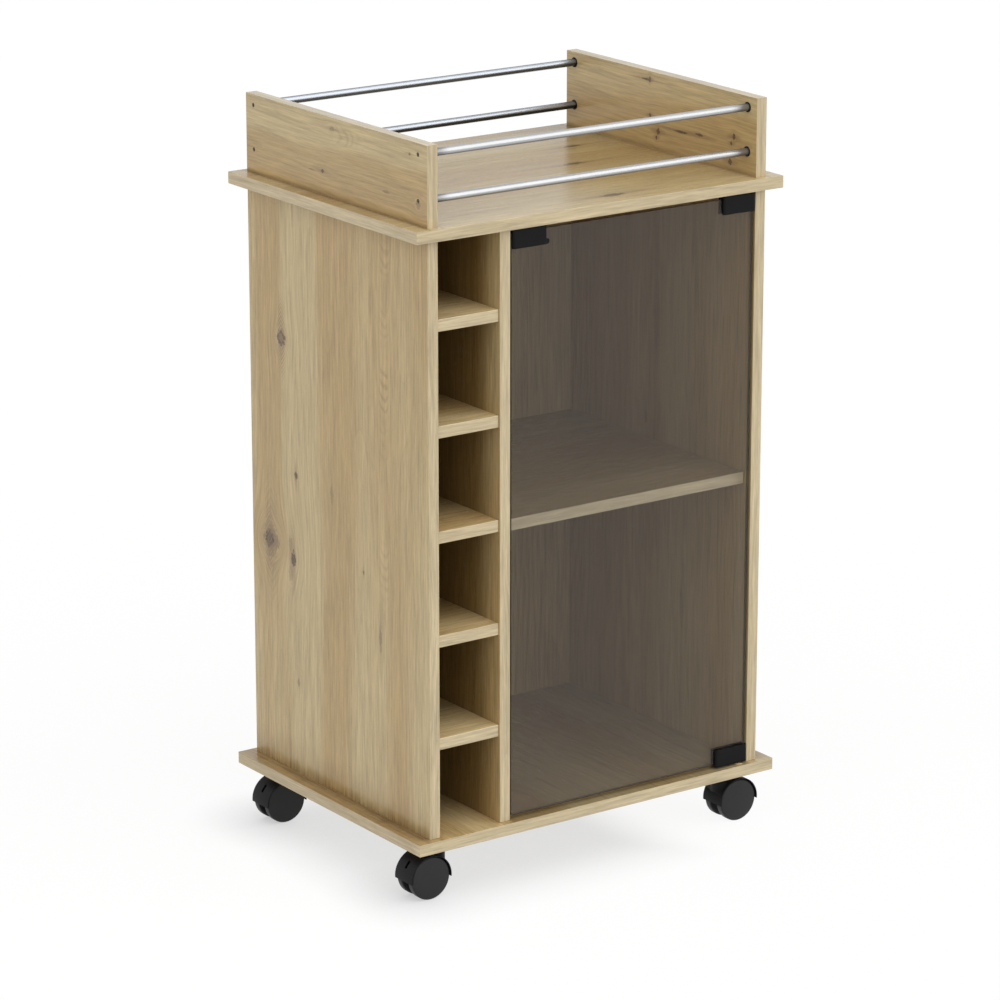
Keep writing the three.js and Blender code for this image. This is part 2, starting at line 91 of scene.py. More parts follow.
class Value:
    """An output socket that can be used in sums, which add Math nodes."""

    def __init__(self, maker, socket):
        self.maker = maker
        self.socket = socket

    __add__ = math_method("ADD")
    __radd__ = math_method("ADD", reflected=True)
    __sub__ = math_method("SUBTRACT")
    __rsub__ = math_method("SUBTRACT", reflected=True)
    __mul__ = math_method("MULTIPLY")
    __rmul__ = math_method("MULTIPLY", reflected=True)
    __truediv__ = math_method("DIVIDE")
    __rtruediv__ = math_method("DIVIDE", reflected=True)
    __pow__ = math_method("POWER")
    root = math_method("SQRT")
    size = math_method("ABSOLUTE")
    fraction = math_method("FRACT")
    at_least = math_method("MAXIMUM")
    at_most = math_method("MINIMUM")

    def other(self, name):
        """Another output of the same node."""
        return Value(self.maker, find_socket(self.socket.node.outputs, name))

    def ramp(self, low, high):
        """Goes smoothly from 0 to 1 as this goes from low to high."""
        inputs = {"Value": self, "From Min": low, "From Max": high}
        return self.maker.add("ShaderNodeMapRange", {"interpolation_type": "SMOOTHSTEP"}, inputs)


def find_socket(sockets, name):
    for socket in sockets:
        if socket.identifier == name:
            return socket
    for socket in sockets:
        if socket.name == name:
            return socket
    raise KeyError(f"no socket {name!r} among {[s.identifier for s in sockets]}")


class Maker:
    """Adds nodes to one tree."""

    def __init__(self, tree):
        self.tree = tree

    def add(self, kind, settings=None, inputs=None, output=None):
        """Adds a node, settings first, then values and links, and returns one of its outputs."""
        node = self.tree.nodes.new(kind)
        for name, value in (settings or {}).items():
            setattr(node, name, value)
        for name, value in (inputs or {}).items():
            socket = find_socket(node.inputs, name)
            if isinstance(value, Value):
                self.tree.links.new(value.socket, socket)
            else:
                socket.default_value = value
        if not node.outputs:
            return None
        return Value(self, find_socket(node.outputs, output) if output else node.outputs[0])

    def point(self, x, y, z=0.0):
        return self.add("ShaderNodeCombineXYZ", None, {"X": x, "Y": y, "Z": z})

    def noise(self, point, detail=2.0, roughness=0.5, scale=1.0):
        inputs = {"Vector": point, "Scale": scale, "Detail": detail, "Roughness": roughness}
        return self.add("ShaderNodeTexNoise", {"noise_dimensions": "3D"}, inputs)

    def blend(self, factor, first, second, mode="MIX"):
        inputs = {"Factor_Float": factor, "A_Color": first, "B_Color": second}
        settings = {"data_type": "RGBA", "blend_type": mode}
        return self.add("ShaderNodeMix", settings, inputs, "Result_Color")

    def scaled(self, colour, factor):
        """A colour, as three numbers or an output, made brighter or darker."""
        inputs = {"Vector": colour, "Scale": factor}
        return self.add("ShaderNodeVectorMath", {"operation": "SCALE"}, inputs)

    def tinted(self, share, colour, tint):
        """A colour multiplied by a tint, as far as the share says."""
        return self.blend(share, colour, rgba(tint), "MULTIPLY")

    def bump(self, height, strength, distance):
        inputs = {"Height": height, "Strength": strength, "Distance": distance}
        return self.add("ShaderNodeBump", None, inputs)

    def split(self, vector):
        """The X, Y and Z of a vector."""
        x = self.add("ShaderNodeSeparateXYZ", None, {"Vector": vector})
        return x, x.other("Y"), x.other("Z")

    def place(self):
        """Where a point is on the object."""
        return self.add("ShaderNodeTexCoord", None, None, "Object")

    def facing(self):
        """Which way the surface faces."""
        return self.add("ShaderNodeTexCoord", None, None, "Normal")

    def background_mix(self, lighting, seen):
        """The first shader lights the cart; the second shows to the camera, in gloss and glass."""
        path = self.add("ShaderNodeLightPath", None, None, "Is Camera Ray")
        share = path + path.other("Is Glossy Ray") + path.other("Is Transmission Ray")
        inputs = {"Fac": share.at_most(1.0), "Shader": lighting, "Shader_001": seen}
        return self.add("ShaderNodeMixShader", None, inputs)

    def stored(self, name, kind):
        """A named attribute."""
        kind = {"data_type": kind}
        return self.add("GeometryNodeInputNamedAttribute", kind, {"Name": name}, "Attribute")

    def store(self, geometry, name, value, kind, domain):
        """The geometry with a value written to a named attribute."""
        settings = {"data_type": kind, "domain": domain}
        inputs = {"Geometry": geometry, "Name": name, "Value": value}
        return self.add("GeometryNodeStoreNamedAttribute", settings, inputs)

    def set_finish(self, geometry, material):
        """Ends a geometry tree."""
        inputs = {"Geometry": geometry, "Material": material}
        finished = self.add("GeometryNodeSetMaterial", None, inputs)
        self.add("NodeGroupOutput", None, {"Geometry": finished})

    def finish(self, **inputs):
        """The Principled surface and the material output."""
        named = {name.replace("_", " "): value for name, value in inputs.items()}
        surface = self.add("ShaderNodeBsdfPrincipled", None, named)
        self.add("ShaderNodeOutputMaterial", None, {"Surface": surface})


def new_material(name):
    material = bpy.data.materials.new(name)
    material.use_nodes = True
    material.node_tree.nodes.clear()
    return material, Maker(material.node_tree)


def rgba(colour):
    return (colour[0], colour[1], colour[2], 1.0)


# ---------------------------------------------------------------- finishes

class Knot(NamedTuple):
    """A knot's place, in metres along and across a board's grain map, and its looks."""

    along: float
    across: float
    radius: float
    dark: float = 1.0
    heart: float = 0.0
    stretch: float = 1.7


class Flame(NamedTuple):
    """A row of nested U-shaped marks: its middle, half its length and how strong it is."""

    along: float
    across: float
    half_length: float
    amount: float = 1.0


class Lane(NamedTuple):
    """A broad band that follows the grain: its middle, half its width, and its warmth."""

    across: float
    half_width: float
    warmth: float


class Figure(NamedTuple):
    """What can be made out in the grain of one board."""

    knots: tuple = ()
    flames: tuple = ()
    lanes: tuple = ()


# Ranges for Value.ramp: outwards from an outer face, and from the front to the back.
FACE_SLACK = 0.1 * MM
OUTER_FACE = (-0.2 * MM, -0.05 * MM)
FRONT_CORNER = (-0.205, -0.188)
TRAY_FRONT = (-0.08, -0.17)
TRAY_SHADE = (-0.19, -0.09)
TRAY_BACK = (0.0, 0.15)

# How much painted light brightens the boards there, and how much painted shade darkens them.
TRAY_FRONT_PAINTED_LIGHT = 0.18
TRAY_BACK_PAINTED_SHADE = 0.28
RACK_LIP_PAINTED_LIGHT = 0.45
SHELF_EDGE_PAINTED_LIGHT = 0.25

FLAME_PITCH = 15 * MM
# A painted cool reflection colour for the back rails.
BACK_RAIL_REFLECTION_TINT = (0.50, 0.56, 0.65)

PLAIN = Figure()
LEFT_SIDE = Figure(
    knots=(
        Knot(0.6435, 0.1225, 0.0090, heart=0.6, stretch=1.15),
        Knot(0.3782, 0.1560, 0.0096, heart=0.6, stretch=1.0),
        Knot(0.3770, 0.1520, 0.0180, dark=0.38, stretch=1.0),
        Knot(0.3645, 0.1010, 0.0056),
        Knot(0.3450, 0.1080, 0.0045, dark=0.25, stretch=2.4),
        Knot(0.3830, 0.1080, 0.0040, dark=0.30, stretch=2.4),
        Knot(0.4747, 0.0930, 0.0030, dark=0.9),
        Knot(0.2053, 0.0926, 0.0028, dark=0.4),
        Knot(0.3877, -0.0570, 0.0016, dark=0.7),
        Knot(0.4700, 0.0120, 0.0034, dark=0.3, stretch=4.0),
        Knot(0.3130, -0.0930, 0.0030, dark=0.35, stretch=5.0),
    ),
    flames=(
        Flame(0.7870, -0.1020, 0.028, 0.7),
        Flame(0.7050, -0.1000, 0.036, 0.5),
        Flame(0.6340, -0.0990, 0.050, 1.0),
        Flame(0.5600, -0.0980, 0.030, 0.45),
        Flame(0.3950, -0.0960, 0.050, 0.55),
    ),
    lanes=(
        Lane(0.188, 0.010, -1.0),
        Lane(0.146, 0.032, 0.7),
        Lane(0.072, 0.042, -1.0),
        Lane(-0.010, 0.040, 1.0),
        Lane(-0.072, 0.016, 0.3),
        Lane(-0.120, 0.020, 0.45),
        Lane(-0.155, 0.020, -0.5),
    ),
)
RIGHT_SIDE = Figure(
    knots=(
        Knot(0.6350, 0.0000, 0.0060, dark=0.30, stretch=9.0),
        Knot(0.4900, 0.0200, 0.0030, dark=0.35, stretch=3.0),
        Knot(0.2500, -0.0600, 0.0040, dark=0.25, stretch=8.0),
    ),
    lanes=(Lane(0.120, 0.050, 0.6), Lane(0.030, 0.018, -0.7), Lane(-0.090, 0.050, 0.4)),
)
LEFT_GALLERY = Figure(
    knots=(
        Knot(0.0247, 0.8694, 0.0022, dark=0.9),
        Knot(0.0480, 0.8675, 0.0012, dark=0.4, stretch=6.0),
        Knot(0.0017, 0.9243, 0.0030, dark=0.4, stretch=2.2),
        Knot(-0.1120, 0.8690, 0.0018, dark=0.35, stretch=4.0),
        Knot(-0.1790, 0.8650, 0.0050, dark=0.35, stretch=1.0),
        Knot(-0.1614, 0.9221, 0.0016, dark=0.6),
    ),
    flames=(Flame(-0.0300, 0.9190, 0.045, 0.6),),
    lanes=(Lane(0.918, 0.020, -0.8), Lane(0.872, 0.026, 0.7)),
)
RIGHT_GALLERY = Figure(
    knots=(
        Knot(0.0182, 0.9276, 0.0034, dark=1.2, stretch=0.45),
        Knot(0.0250, 0.9268, 0.0014, dark=1.0, stretch=7.0),
        Knot(0.0174, 0.8825, 0.0024, dark=1.0, stretch=0.8),
        Knot(0.0003, 0.8640, 0.0036, dark=1.5, stretch=0.9),
        Knot(0.0040, 0.8560, 0.0028, dark=1.0, stretch=0.6),
        Knot(-0.0466, 0.8715, 0.0016, dark=1.2, stretch=8.0),
        Knot(-0.0839, 0.8740, 0.0018, dark=1.0, stretch=4.0),
        Knot(-0.1524, 0.8830, 0.0034, dark=1.2, stretch=0.8),
        Knot(-0.1475, 0.8740, 0.0028, dark=1.2, stretch=0.6),
        Knot(-0.1457, 0.8508, 0.0038, dark=1.5, stretch=0.9),
    ),
    lanes=(Lane(0.926, 0.016, -0.5), Lane(0.872, 0.020, 0.6)),
)
TRAY = Figure(
    knots=(
        Knot(0.1643, 0.6141, 0.0044, dark=0.9, stretch=3.0),
        Knot(0.1041, 0.5274, 0.0050, stretch=3.2),
        Knot(0.0350, 0.3565, 0.0060, stretch=3.0),
        Knot(-0.0900, 0.4700, 0.0024, dark=0.3, stretch=5.0),
        # This broad, faint mark at the back right, drawn as a knot, is painted shade and painted
        # reflection of the right gallery board.
        Knot(0.1500, 0.6700, 0.0090, dark=0.25, stretch=6.0),
    ),
    lanes=(
        Lane(0.345, 0.034, -2.0),
        Lane(0.380, 0.006, 0.6),
        Lane(0.410, 0.020, -1.0),
        Lane(0.527, 0.012, 0.8),
        Lane(0.585, 0.014, -0.7),
    ),
)


FIGURED_BOARDS = {
    "side_panel_left": ("left_side", LEFT_SIDE),
    "side_panel_right": ("right_side", RIGHT_SIDE),
    "gallery_board_left": ("left_gallery", LEFT_GALLERY),
    "gallery_board_right": ("right_gallery", RIGHT_GALLERY),
    "top_board": ("tray", TRAY),
}


def from_plane(value, plane):
    """1 from a plane upwards, the faces that lie in it as well, and 0 below it."""
    return value.ramp(plane - 3 * FACE_SLACK, plane - FACE_SLACK)


def to_plane(value, plane):
    """1 up to a plane, the faces that lie in it as well, and 0 beyond it."""
    return value.ramp(plane + 3 * FACE_SLACK, plane + FACE_SLACK)


def distance(first, second):
    return (first**2.0 + second**2.0).root()


def paint_shade_between_decks(make, tone, look, place, facing):
    """Paints shade into the bottle rack and the cupboard towards the back, and paints light on their
    front edges.
    """
    x, y, z = place
    up = facing[Z].at_least(0.0)
    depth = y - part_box("rack_shelf_1")[0].y
    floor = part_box("base_board")[1].z
    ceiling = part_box("top_board")[0].z
    between = from_plane(z, floor) * to_plane(z, ceiling) * to_plane(y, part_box("back_panel")[0].y)
    divider_left, divider_right = (corner.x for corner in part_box("divider_panel"))

    # Painted shade in the bottle rack: its walls darken from the front to 55 mm back, and its shelves'
    # upper faces darken half as much from 30 mm to 140 mm back.
    rack = from_plane(x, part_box("side_panel_left")[1].x) * to_plane(x, divider_left) * between
    walls = depth.ramp(0.0, 55 * MM) * (1.0 - up)
    shelves = depth.ramp(30 * MM, 140 * MM) * up * 0.5
    tone = make.tinted(rack * (walls + shelves), tone, look.rack_shade_tint)
    # Painted light on the upper faces of the rack's shelves within 120 mm of the front.
    lip = rack * up * depth.ramp(120 * MM, 0.0)
    tone = make.scaled(tone, 1.0 + lip * RACK_LIP_PAINTED_LIGHT)

    # Painted shade in the cupboard: more towards the back, and most on its upward faces.
    cupboard = from_plane(x, divider_right) * to_plane(x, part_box("side_panel_right")[0].x) * between
    shade = depth.ramp(30 * MM, 150 * MM) * 0.3 + up * 0.7
    tone = make.tinted(cupboard * shade, tone, look.cupboard_shade_tint)
    # Painted light on the cupboard's front- and back-facing faces near its front, such as the shelf's
    # front edge.
    edge = cupboard * facing[Y].size() * depth.ramp(100 * MM, 60 * MM)
    return make.scaled(tone, 1.0 + edge * SHELF_EDGE_PAINTED_LIGHT)


def paint_light_and_shade_on_tray(make, tone, look, place, facing):
    """Paints light on the tray's front, and paints shade inside it and at the feet of the gallery boards.
    """
    x, y, z = place
    up = facing[Z].at_least(0.0)
    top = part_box("top_board")[1].z
    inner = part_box("side_panel_right")[0].x
    from_top = from_plane(z, top)
    inside = to_plane(x.size(), inner) * from_top

    # Painted light on the upper face of the top board towards its front.
    front = from_top * up * y.ramp(*TRAY_FRONT)
    tone = make.scaled(tone, 1.0 + front * TRAY_FRONT_PAINTED_LIGHT)
    # Painted shade inside the tray, more on its upper face away from the front.
    shade = 0.35 + up * y.ramp(*TRAY_SHADE)
    tone = make.tinted(inside * shade, tone, look.tray_shade_tint)
    # Painted shade on the tray beside the gallery boards, towards the back.
    beside = (x.size() - inner).size()
    back = inside * up * beside.ramp(110 * MM, 0.0) * y.ramp(*TRAY_BACK)
    tone = make.scaled(tone, 1.0 - back * TRAY_BACK_PAINTED_SHADE)

    # Painted shade where the tray meets the inner faces of the gallery boards.
    foot = distance(beside, z - top).ramp(9 * MM, 0.0) * inside
    tone = make.tinted(foot * 0.4, tone, look.foot_shade_tint)
    # A painted shadow line where the outer faces of the gallery boards meet the top board.
    outer = x.size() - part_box("gallery_board_right")[1].x
    line = distance(outer, z - top).ramp(6 * MM, 0.5 * MM) * outer.ramp(*OUTER_FACE) * from_top
    return make.tinted(line * 0.6, tone, look.foot_shade_tint)


def paint_shade_at_feet(make, tone, look, place, facing, shade_noise):
    """Paints uneven shade on the side panels where they stand on the base board."""
    x, y, z = place
    beside = x.size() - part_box("side_panel_right")[1].x
    outside = beside.ramp(*OUTER_FACE) * (1.0 - facing[Y].size()) * y.ramp(*FRONT_CORNER)
    foot = distance(beside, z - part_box("base_board")[1].z)
    # Painted shade at the foot: a narrow band of uneven height over a broad, soft one.
    spread = make.noise(make.point(x * 3.0, y * 38.0, z * 9.0), detail=3.0, roughness=0.6)
    near = (foot / (6 * MM + spread.ramp(0.3, 0.75) * 22 * MM)).ramp(1.0, 0.0)
    soft = foot.ramp(55 * MM, 0.0) * 0.34
    share = (near * (0.38 + shade_noise * 0.5) + soft) * outside
    return make.tinted(share.at_most(1.0), tone, look.foot_shade_tint)


def bend_round_knots(knots, along, across, flow, ragged):
    """The grain's flow bent round the knots, and the knots' dark parts, stains and ticks."""
    dark = 0.0
    stained = 0.0
    ticks = 0.0
    for knot in knots:
        run = (along - knot.along) / knot.stretch
        side = across - knot.across
        reach = run * run + side * side
        flow = flow - side * (knot.radius**2 * 1.8 / reach.at_least(knot.radius**2 * 1.4))
        far = (reach.root() * 0.6 + (run.size() + side.size()) * 0.4) / knot.radius + ragged * 2.6

        # A dark rim, round a heart that may be pale, in a stain that fades outwards.
        pale = far.ramp(0.80, 0.45) * knot.heart
        dark = dark + far.ramp(1.30, 0.75) * (1.0 - pale * 0.8) * knot.dark
        stained = stained + far.ramp(3.8, 0.8) * knot.dark * (0.55 + ragged * 2.5)

        # Short V-shaped ticks along the grain on both sides of it.
        steps = ((run.size() * knot.stretch + side.size() * 1.3) / (knot.radius * 0.62)).fraction()
        slim = (side.size() / knot.radius).ramp(1.2, 0.3)
        short = (run.size() / knot.radius).ramp(6.5, 1.4)
        ticks = ticks + (steps - 0.5).size() * slim * short * knot.dark * 1.8
    return flow, dark, stained, ticks


def draw_flames(make, flames, along, across, flow, ragged):
    """The U-shaped marks of the flames, and the bright wood between them."""
    marks = 0.0
    bright = 0.0
    if not flames:
        return marks, bright
    uneven = make.noise(make.point(along * 28.0, across * 40.0, 4.4))
    for flame in flames:
        side = flow - flame.across
        bend = (side + (uneven - 0.5) * 0.014) ** 2.0 * 75.0
        steps = ((along - bend) / FLAME_PITCH + uneven * 1.6 + ragged * 0.3).fraction()
        line = (steps - 0.5).size().ramp(0.16, 0.48) * uneven.ramp(0.30, 0.62)
        slim = side.size().ramp(0.0130, 0.0060)
        short = (along - flame.along).size().ramp(flame.half_length, flame.half_length * 0.5)
        share = slim * short * flame.amount
        marks = marks + line * share * 0.30
        bright = bright + (1.0 - line) * share * 0.07
    return marks, bright


def oak_finish(name, look, figure):
    """Light oak facing. The grain map runs in metres: X along the grain, Y across it."""
    material, make = new_material(name)
    along, across, _ = make.split(make.add("ShaderNodeUVMap", {"uv_map": "grain"}))
    sway = make.noise(make.point(along * 1.5, across * 5.0))
    flow = across + (sway - 0.5) * 0.022
    ragged = make.noise(make.point(along * 230.0, across * 330.0), detail=3.0, roughness=0.6) - 0.5
    flow, dark, stained, ticks = bend_round_knots(figure.knots, along, across, flow, ragged)
    marks, bright = draw_flames(make, figure.flames, along, across, flow, ragged)

    def grain(run, side, part=0.0, detail=2.0, roughness=0.5):
        """Noise with so many spots in a metre along the grain and across it."""
        return make.noise(make.point(along * run, flow * side, part), detail, roughness)

    bands = grain(run=0.8, side=10.0, detail=1.0)
    tint = grain(run=3.0, side=60.0, part=7.3)
    for lane in figure.lanes:
        beside = (flow + (tint - 0.5) * 0.035 - lane.across).size()
        bands = bands - beside.ramp(lane.half_width * 1.7, lane.half_width * 0.3) * lane.warmth * 0.15
    streak = grain(run=10.0, side=250.0, part=2.1, detail=2.5, roughness=0.6)
    fine = grain(run=30.0, side=620.0, part=5.7, roughness=0.65)
    pore = grain(run=60.0, side=1100.0, part=9.2, detail=1.0).ramp(0.56, 0.74)
    years = grain(run=1.25, side=8.5, part=3.9, detail=1.0) * 15.0 + flow * 34.0
    rings = years.fraction() ** 2.5

    warm_share = bands.ramp(0.62, 0.38)
    tone = make.blend(warm_share, rgba(look.pale_tone), rgba(look.warm_tone))
    tone = make.blend(tint.ramp(0.50, 0.72) * 0.3, tone, rgba(look.grey_tone))
    shade = (
        1.0
        + bright
        - (streak - 0.5) * look.streak_depth * 2.0
        - (fine - 0.5) * look.streak_depth * 1.7
        - pore * look.pore_depth
        - rings * look.ring_depth
    )
    tone = make.scaled(tone, shade)
    if figure.knots:
        tone = make.blend((stained * 0.6).at_least(0.0).at_most(0.7), tone, rgba(look.stain_tone))
        tone = make.blend(dark.at_most(0.95), tone, rgba(look.knot_tone))
    if figure.knots or figure.flames:
        tone = make.blend((ticks + marks).at_most(0.65), tone, rgba(look.mark_tone))
    band = make.add("ShaderNodeAttribute", {"attribute_name": "edge_band"}, None, "Fac")
    edge = make.scaled(look.edge_tone, shade + (tint - 0.5) * 0.35)
    tone = make.blend(band * 0.75, tone, edge)

    place = make.split(make.place())
    facing = make.split(make.facing())
    # Painted shade and painted light in the rack, the cupboard and the tray, and painted shade at the
    # feet.
    tone = paint_shade_between_decks(make, tone, look, place, facing)
    tone = paint_light_and_shade_on_tray(make, tone, look, place, facing)
    tone = paint_shade_at_feet(make, tone, look, place, facing, (streak - 0.5) * 2.0)
    make.finish(
        Base_Color=tone,
        Roughness=0.24 + (streak - 0.5) * 0.10 + pore * 0.06,
        IOR=1.48,
        Specular_IOR_Level=0.5,
        Normal=make.bump(shade - pore * 0.6, 0.12, 0.00010),
    )
    return material


def glass_finish(name, tint, body, clearest, shine):
    """Tinted glass that lets light and the view through both its faces."""
    material, make = new_material(name)
    spot = make.place()
    smear = make.noise(spot, detail=3.0, scale=9.0)
    wave = make.noise(spot, detail=1.0, scale=3.0)
    make.finish(
        Base_Color=make.scaled(tint, 0.94 + wave * 0.12),
        Roughness=clearest + smear.ramp(0.45, 0.8) * 0.04,
        IOR=1.68,
        Specular_IOR_Level=shine,
        Alpha=body + (wave - 0.5) * 0.015,
        Normal=make.bump(wave, 0.02, 0.002),
    )
    material.surface_render_method = "BLENDED"
    return material


def brush_lines(make, x, y, z):
    """Fine lines along X."""
    return make.noise(make.point(x * 60.0, y * 2600.0, z * 2600.0))


def rail_finish(name, colour):
    """Polished chrome with painted reflection: painted shade on the underside and near the ends, and a
    painted dark line along the crown, more so on the back rails.
    """
    material, make = new_material(name)
    x, y, z = make.split(make.place())
    lines = brush_lines(make, x, y, z)
    cloud = make.noise(make.point(x * 25.0, y * 90.0, z * 90.0))
    up = make.split(make.facing())[Z]
    behind = y.ramp(-0.05, 0.05)
    # Painted shade on the undersides: strong on the back rails, and strongest on the lower back rail.
    deep = 0.92 - z.ramp(0.88, 0.91) * 0.17
    under = up.ramp(0.2, -0.9) * 0.45 * (1.0 - behind) + up.ramp(0.40, -0.15) * deep * behind
    # A painted dark line along the top of each rail, darker on the back rails.
    crown = up.ramp(0.84, 0.96) * (0.25 + behind * 0.4)
    # Painted shade near both ends, where the rails meet the gallery boards.
    ends = x.size().ramp(0.205, 0.226) * 0.5
    shade = (1.0 - under) * (1.0 - crown) * (1.0 - ends)
    # The back rails take a painted cool reflection colour.
    tone = make.blend(behind * 0.6, rgba(colour), rgba(BACK_RAIL_REFLECTION_TINT))
    make.finish(
        Base_Color=make.scaled(tone, shade * (0.94 + cloud * 0.12)),
        Metallic=0.6,
        Roughness=0.26 + (lines - 0.5) * 0.06,
        Normal=make.bump(lines, 0.06, 0.00003),
    )
    return material


def metal_finish(name, colour, roughness, brushed):
    """Metal with fine brush lines; brushed is how much they roughen it."""
    material, make = new_material(name)
    x, y, z = make.split(make.place())
    lines = brush_lines(make, x, y, z)
    cloud = make.noise(make.point(x * 45.0, y * 90.0, z * 90.0))
    make.finish(
        Base_Color=make.scaled(colour, 0.95 + cloud * 0.1),
        Metallic=1.0,
        Roughness=roughness + (lines - 0.5) * brushed + (cloud - 0.5) * brushed * 0.5,
        Normal=make.bump(lines, 0.08, 0.00004),
    )
    return material


def coated_finish(name, colour, roughness, pebble, height, gloss):
    """Moulded plastic or powder coat: pebble is the number of grains in a metre."""
    material, make = new_material(name)
    spot = make.place()
    inputs = {"Vector": spot, "Scale": pebble}
    grains = make.add("ShaderNodeTexVoronoi", {"feature": "SMOOTH_F1"}, inputs)
    cloud = make.noise(spot, detail=3.0, scale=70.0)
    scuff = make.noise(spot, detail=4.0, scale=400.0)
    make.finish(
        Base_Color=make.scaled(colour, 0.88 + cloud * 0.24),
        Roughness=roughness + (cloud - 0.5) * 0.12 + (scuff - 0.5) * 0.08,
        IOR=1.47,
        Specular_IOR_Level=gloss,
        Normal=make.bump(grains, 0.25, height),
    )
    return material


# What a fitting's name ends in, by the kind of its finish.
MADE_OF = {
    "steel": "steel",
    "brass": "brass",
    "magnet": "steel",
    "black_metal": "coated",
    "black_plastic": "moulded",
}

# Each kind of finish: its function, where its colour stands in the settings, and its numbers.
FINISHES = {
    "smoked_glass": (glass_finish, "glass.tint", {"clearest": 0.03, "shine": 1.0}),
    "smoked_glass_edge": (glass_finish, "glass.edge_tint", {"clearest": 0.06, "shine": 0.2}),
    "chrome": (rail_finish, "metal.chrome", {}),
    "steel": (metal_finish, "metal.steel", {"roughness": 0.34, "brushed": 0.14}),
    "dark_steel": (metal_finish, "metal.dark_steel", {"roughness": 0.5, "brushed": 0.1}),
    "brass": (metal_finish, "metal.brass", {"roughness": 0.3, "brushed": 0.12}),
    "magnet": (metal_finish, "metal.magnet", {"roughness": 0.42, "brushed": 0.1}),
    "black_metal": (
        coated_finish,
        "metal.coat",
        {"roughness": 0.45, "pebble": 1500.0, "height": 0.00004, "gloss": 0.11},
    ),
    "black_plastic": (
        coated_finish,
        "casters.plastic",
        {"roughness": 0.5, "pebble": 2200.0, "height": 0.00005, "gloss": 0.15},
    ),
    "wheel_plastic": (
        coated_finish,
        "casters.wheel",
        {"roughness": 0.46, "pebble": 1800.0, "height": 0.00004, "gloss": 0.34},
    ),
}


def finish_for(kind, look, **more):
    """The material of one finish, made the first time that it is asked for."""
    name = f"{kind}_finish"
    if name not in bpy.data.materials:
        make_finish, colour, numbers = FINISHES[kind]
        make_finish(name, look.path_resolve(colour), **numbers, **more)
    return bpy.data.materials[name]


def oak_for(node, look):
    """The plain oak, or the oak of a board whose figure is given."""
    place, figure = FIGURED_BOARDS.get(node, (None, PLAIN))
    name = f"oak_finish_{place}" if place else "oak_finish"
    if name not in bpy.data.materials:
        oak_finish(name, look.boards, figure)
    return bpy.data.materials[name]


# ---------------------------------------------------------------- mesh making

def new_piece(name, mesh):
    piece = bpy.data.objects.new(name, mesh)
    bpy.context.scene.collection.objects.link(piece)
    return piece


def mesh_from(name, bm):
    mesh = bpy.data.meshes.new(name)
    bm.to_mesh(mesh)
    bm.free()
    return mesh


def closed_mesh(name, bm):
    """A mesh whose faces all point outwards."""
    bmesh.ops.recalc_face_normals(bm, faces=bm.faces)
    return mesh_from(name, bm)


def make_plain(piece):
    """Turns a piece and its modifiers into one plain mesh."""
    bpy.context.view_layer.update()
    graph = bpy.context.evaluated_depsgraph_get()
    made = bpy.data.meshes.new_from_object(piece.evaluated_get(graph))
    old = piece.data
    piece.modifiers.clear()
    piece.data = made
    bpy.context.view_layer.update()
    made.name = piece.name
    bpy.data.meshes.remove(old)
    return piece


def smooth(mesh):
    for face in mesh.polygons:
        face.use_smooth = True


def crease(mesh):
    """Smooth shading, broken where two faces meet at a sharp edge."""
    smooth(mesh)
    mesh.set_sharp_from_angle(angle=SHARP_ANGLE)
    return mesh


def take_mesh(piece):
    """The creased mesh of a piece that was only needed while it was cut."""
    mesh = crease(piece.data)
    bpy.data.objects.remove(piece)
    return mesh


def round_edges(piece, radius, steps=3):
    """Rounds every sharp edge of a piece and shades its flat faces flat."""
    smooth(piece.data)
    rounding = piece.modifiers.new("rounded edges", "BEVEL")
    rounding.width = radius
    rounding.segments = steps
    rounding.limit_method = "ANGLE"
    rounding.angle_limit = SHARP_ANGLE
    rounding.use_clamp_overlap = True
    shading = piece.modifiers.new("flat faces", "WEIGHTED_NORMAL")
    shading.keep_sharp = True
    return make_plain(piece)


def copy_of(node, name):
    """A welded copy of a frame node, its flat faces in one piece each."""
    bm = bmesh.new()
    bm.from_mesh(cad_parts[node].data)
    bmesh.ops.remove_doubles(bm, verts=bm.verts, dist=WELD_DISTANCE)
    bmesh.ops.dissolve_limit(bm, angle_limit=FLAT_ANGLE, verts=bm.verts, edges=bm.edges)
    mesh = mesh_from(name, bm)
    for layer in list(mesh.uv_layers):
        mesh.uv_layers.remove(layer)
    return new_piece(name, mesh)


def softened(corners, radius, steps=4, closed=True):
    """A polygon's corners turned to arcs. radius is one number or one for each corner."""
    radii = radius if isinstance(radius, (list, tuple)) else [radius] * len(corners)
    points = []
    for i, corner in enumerate(corners):
        here = Vector(corner)
        inner = closed or 0 < i < len(corners) - 1
        if not inner or radii[i] <= 0:
            points.append(here)
            continue
        back = Vector(corners[i - 1]) - here
        ahead = Vector(corners[(i + 1) % len(corners)]) - here
        half = back.angle(ahead) / 2
        if half > STRAIGHT_ANGLE:
            points.append(here)
            continue
        longest = min(back.length, ahead.length) * LONGEST_CUT
        cut = min(radii[i] / math.tan(half), longest)
        inwards = (back.normalized() + ahead.normalized()).normalized()
        centre = here + inwards * (cut * math.tan(half) / math.sin(half))
        start = here + back.normalized() * cut - centre
        end = here + ahead.normalized() * cut - centre
        sweep = start.angle(end)
        weight = math.sin(sweep) or 1.0
        for step in range(steps + 1):
            done = step / steps
            from_start = start * (math.sin((1 - done) * sweep) / weight)
            points.append(centre + (from_start + end * (math.sin(done * sweep) / weight)))
    return points


def profile(rows, steps=4):
    """Half the outline of a turned piece, from (radius, height, rounding) rows."""
    return softened([row[:2] for row in rows], [row[2] for row in rows], steps, closed=False)


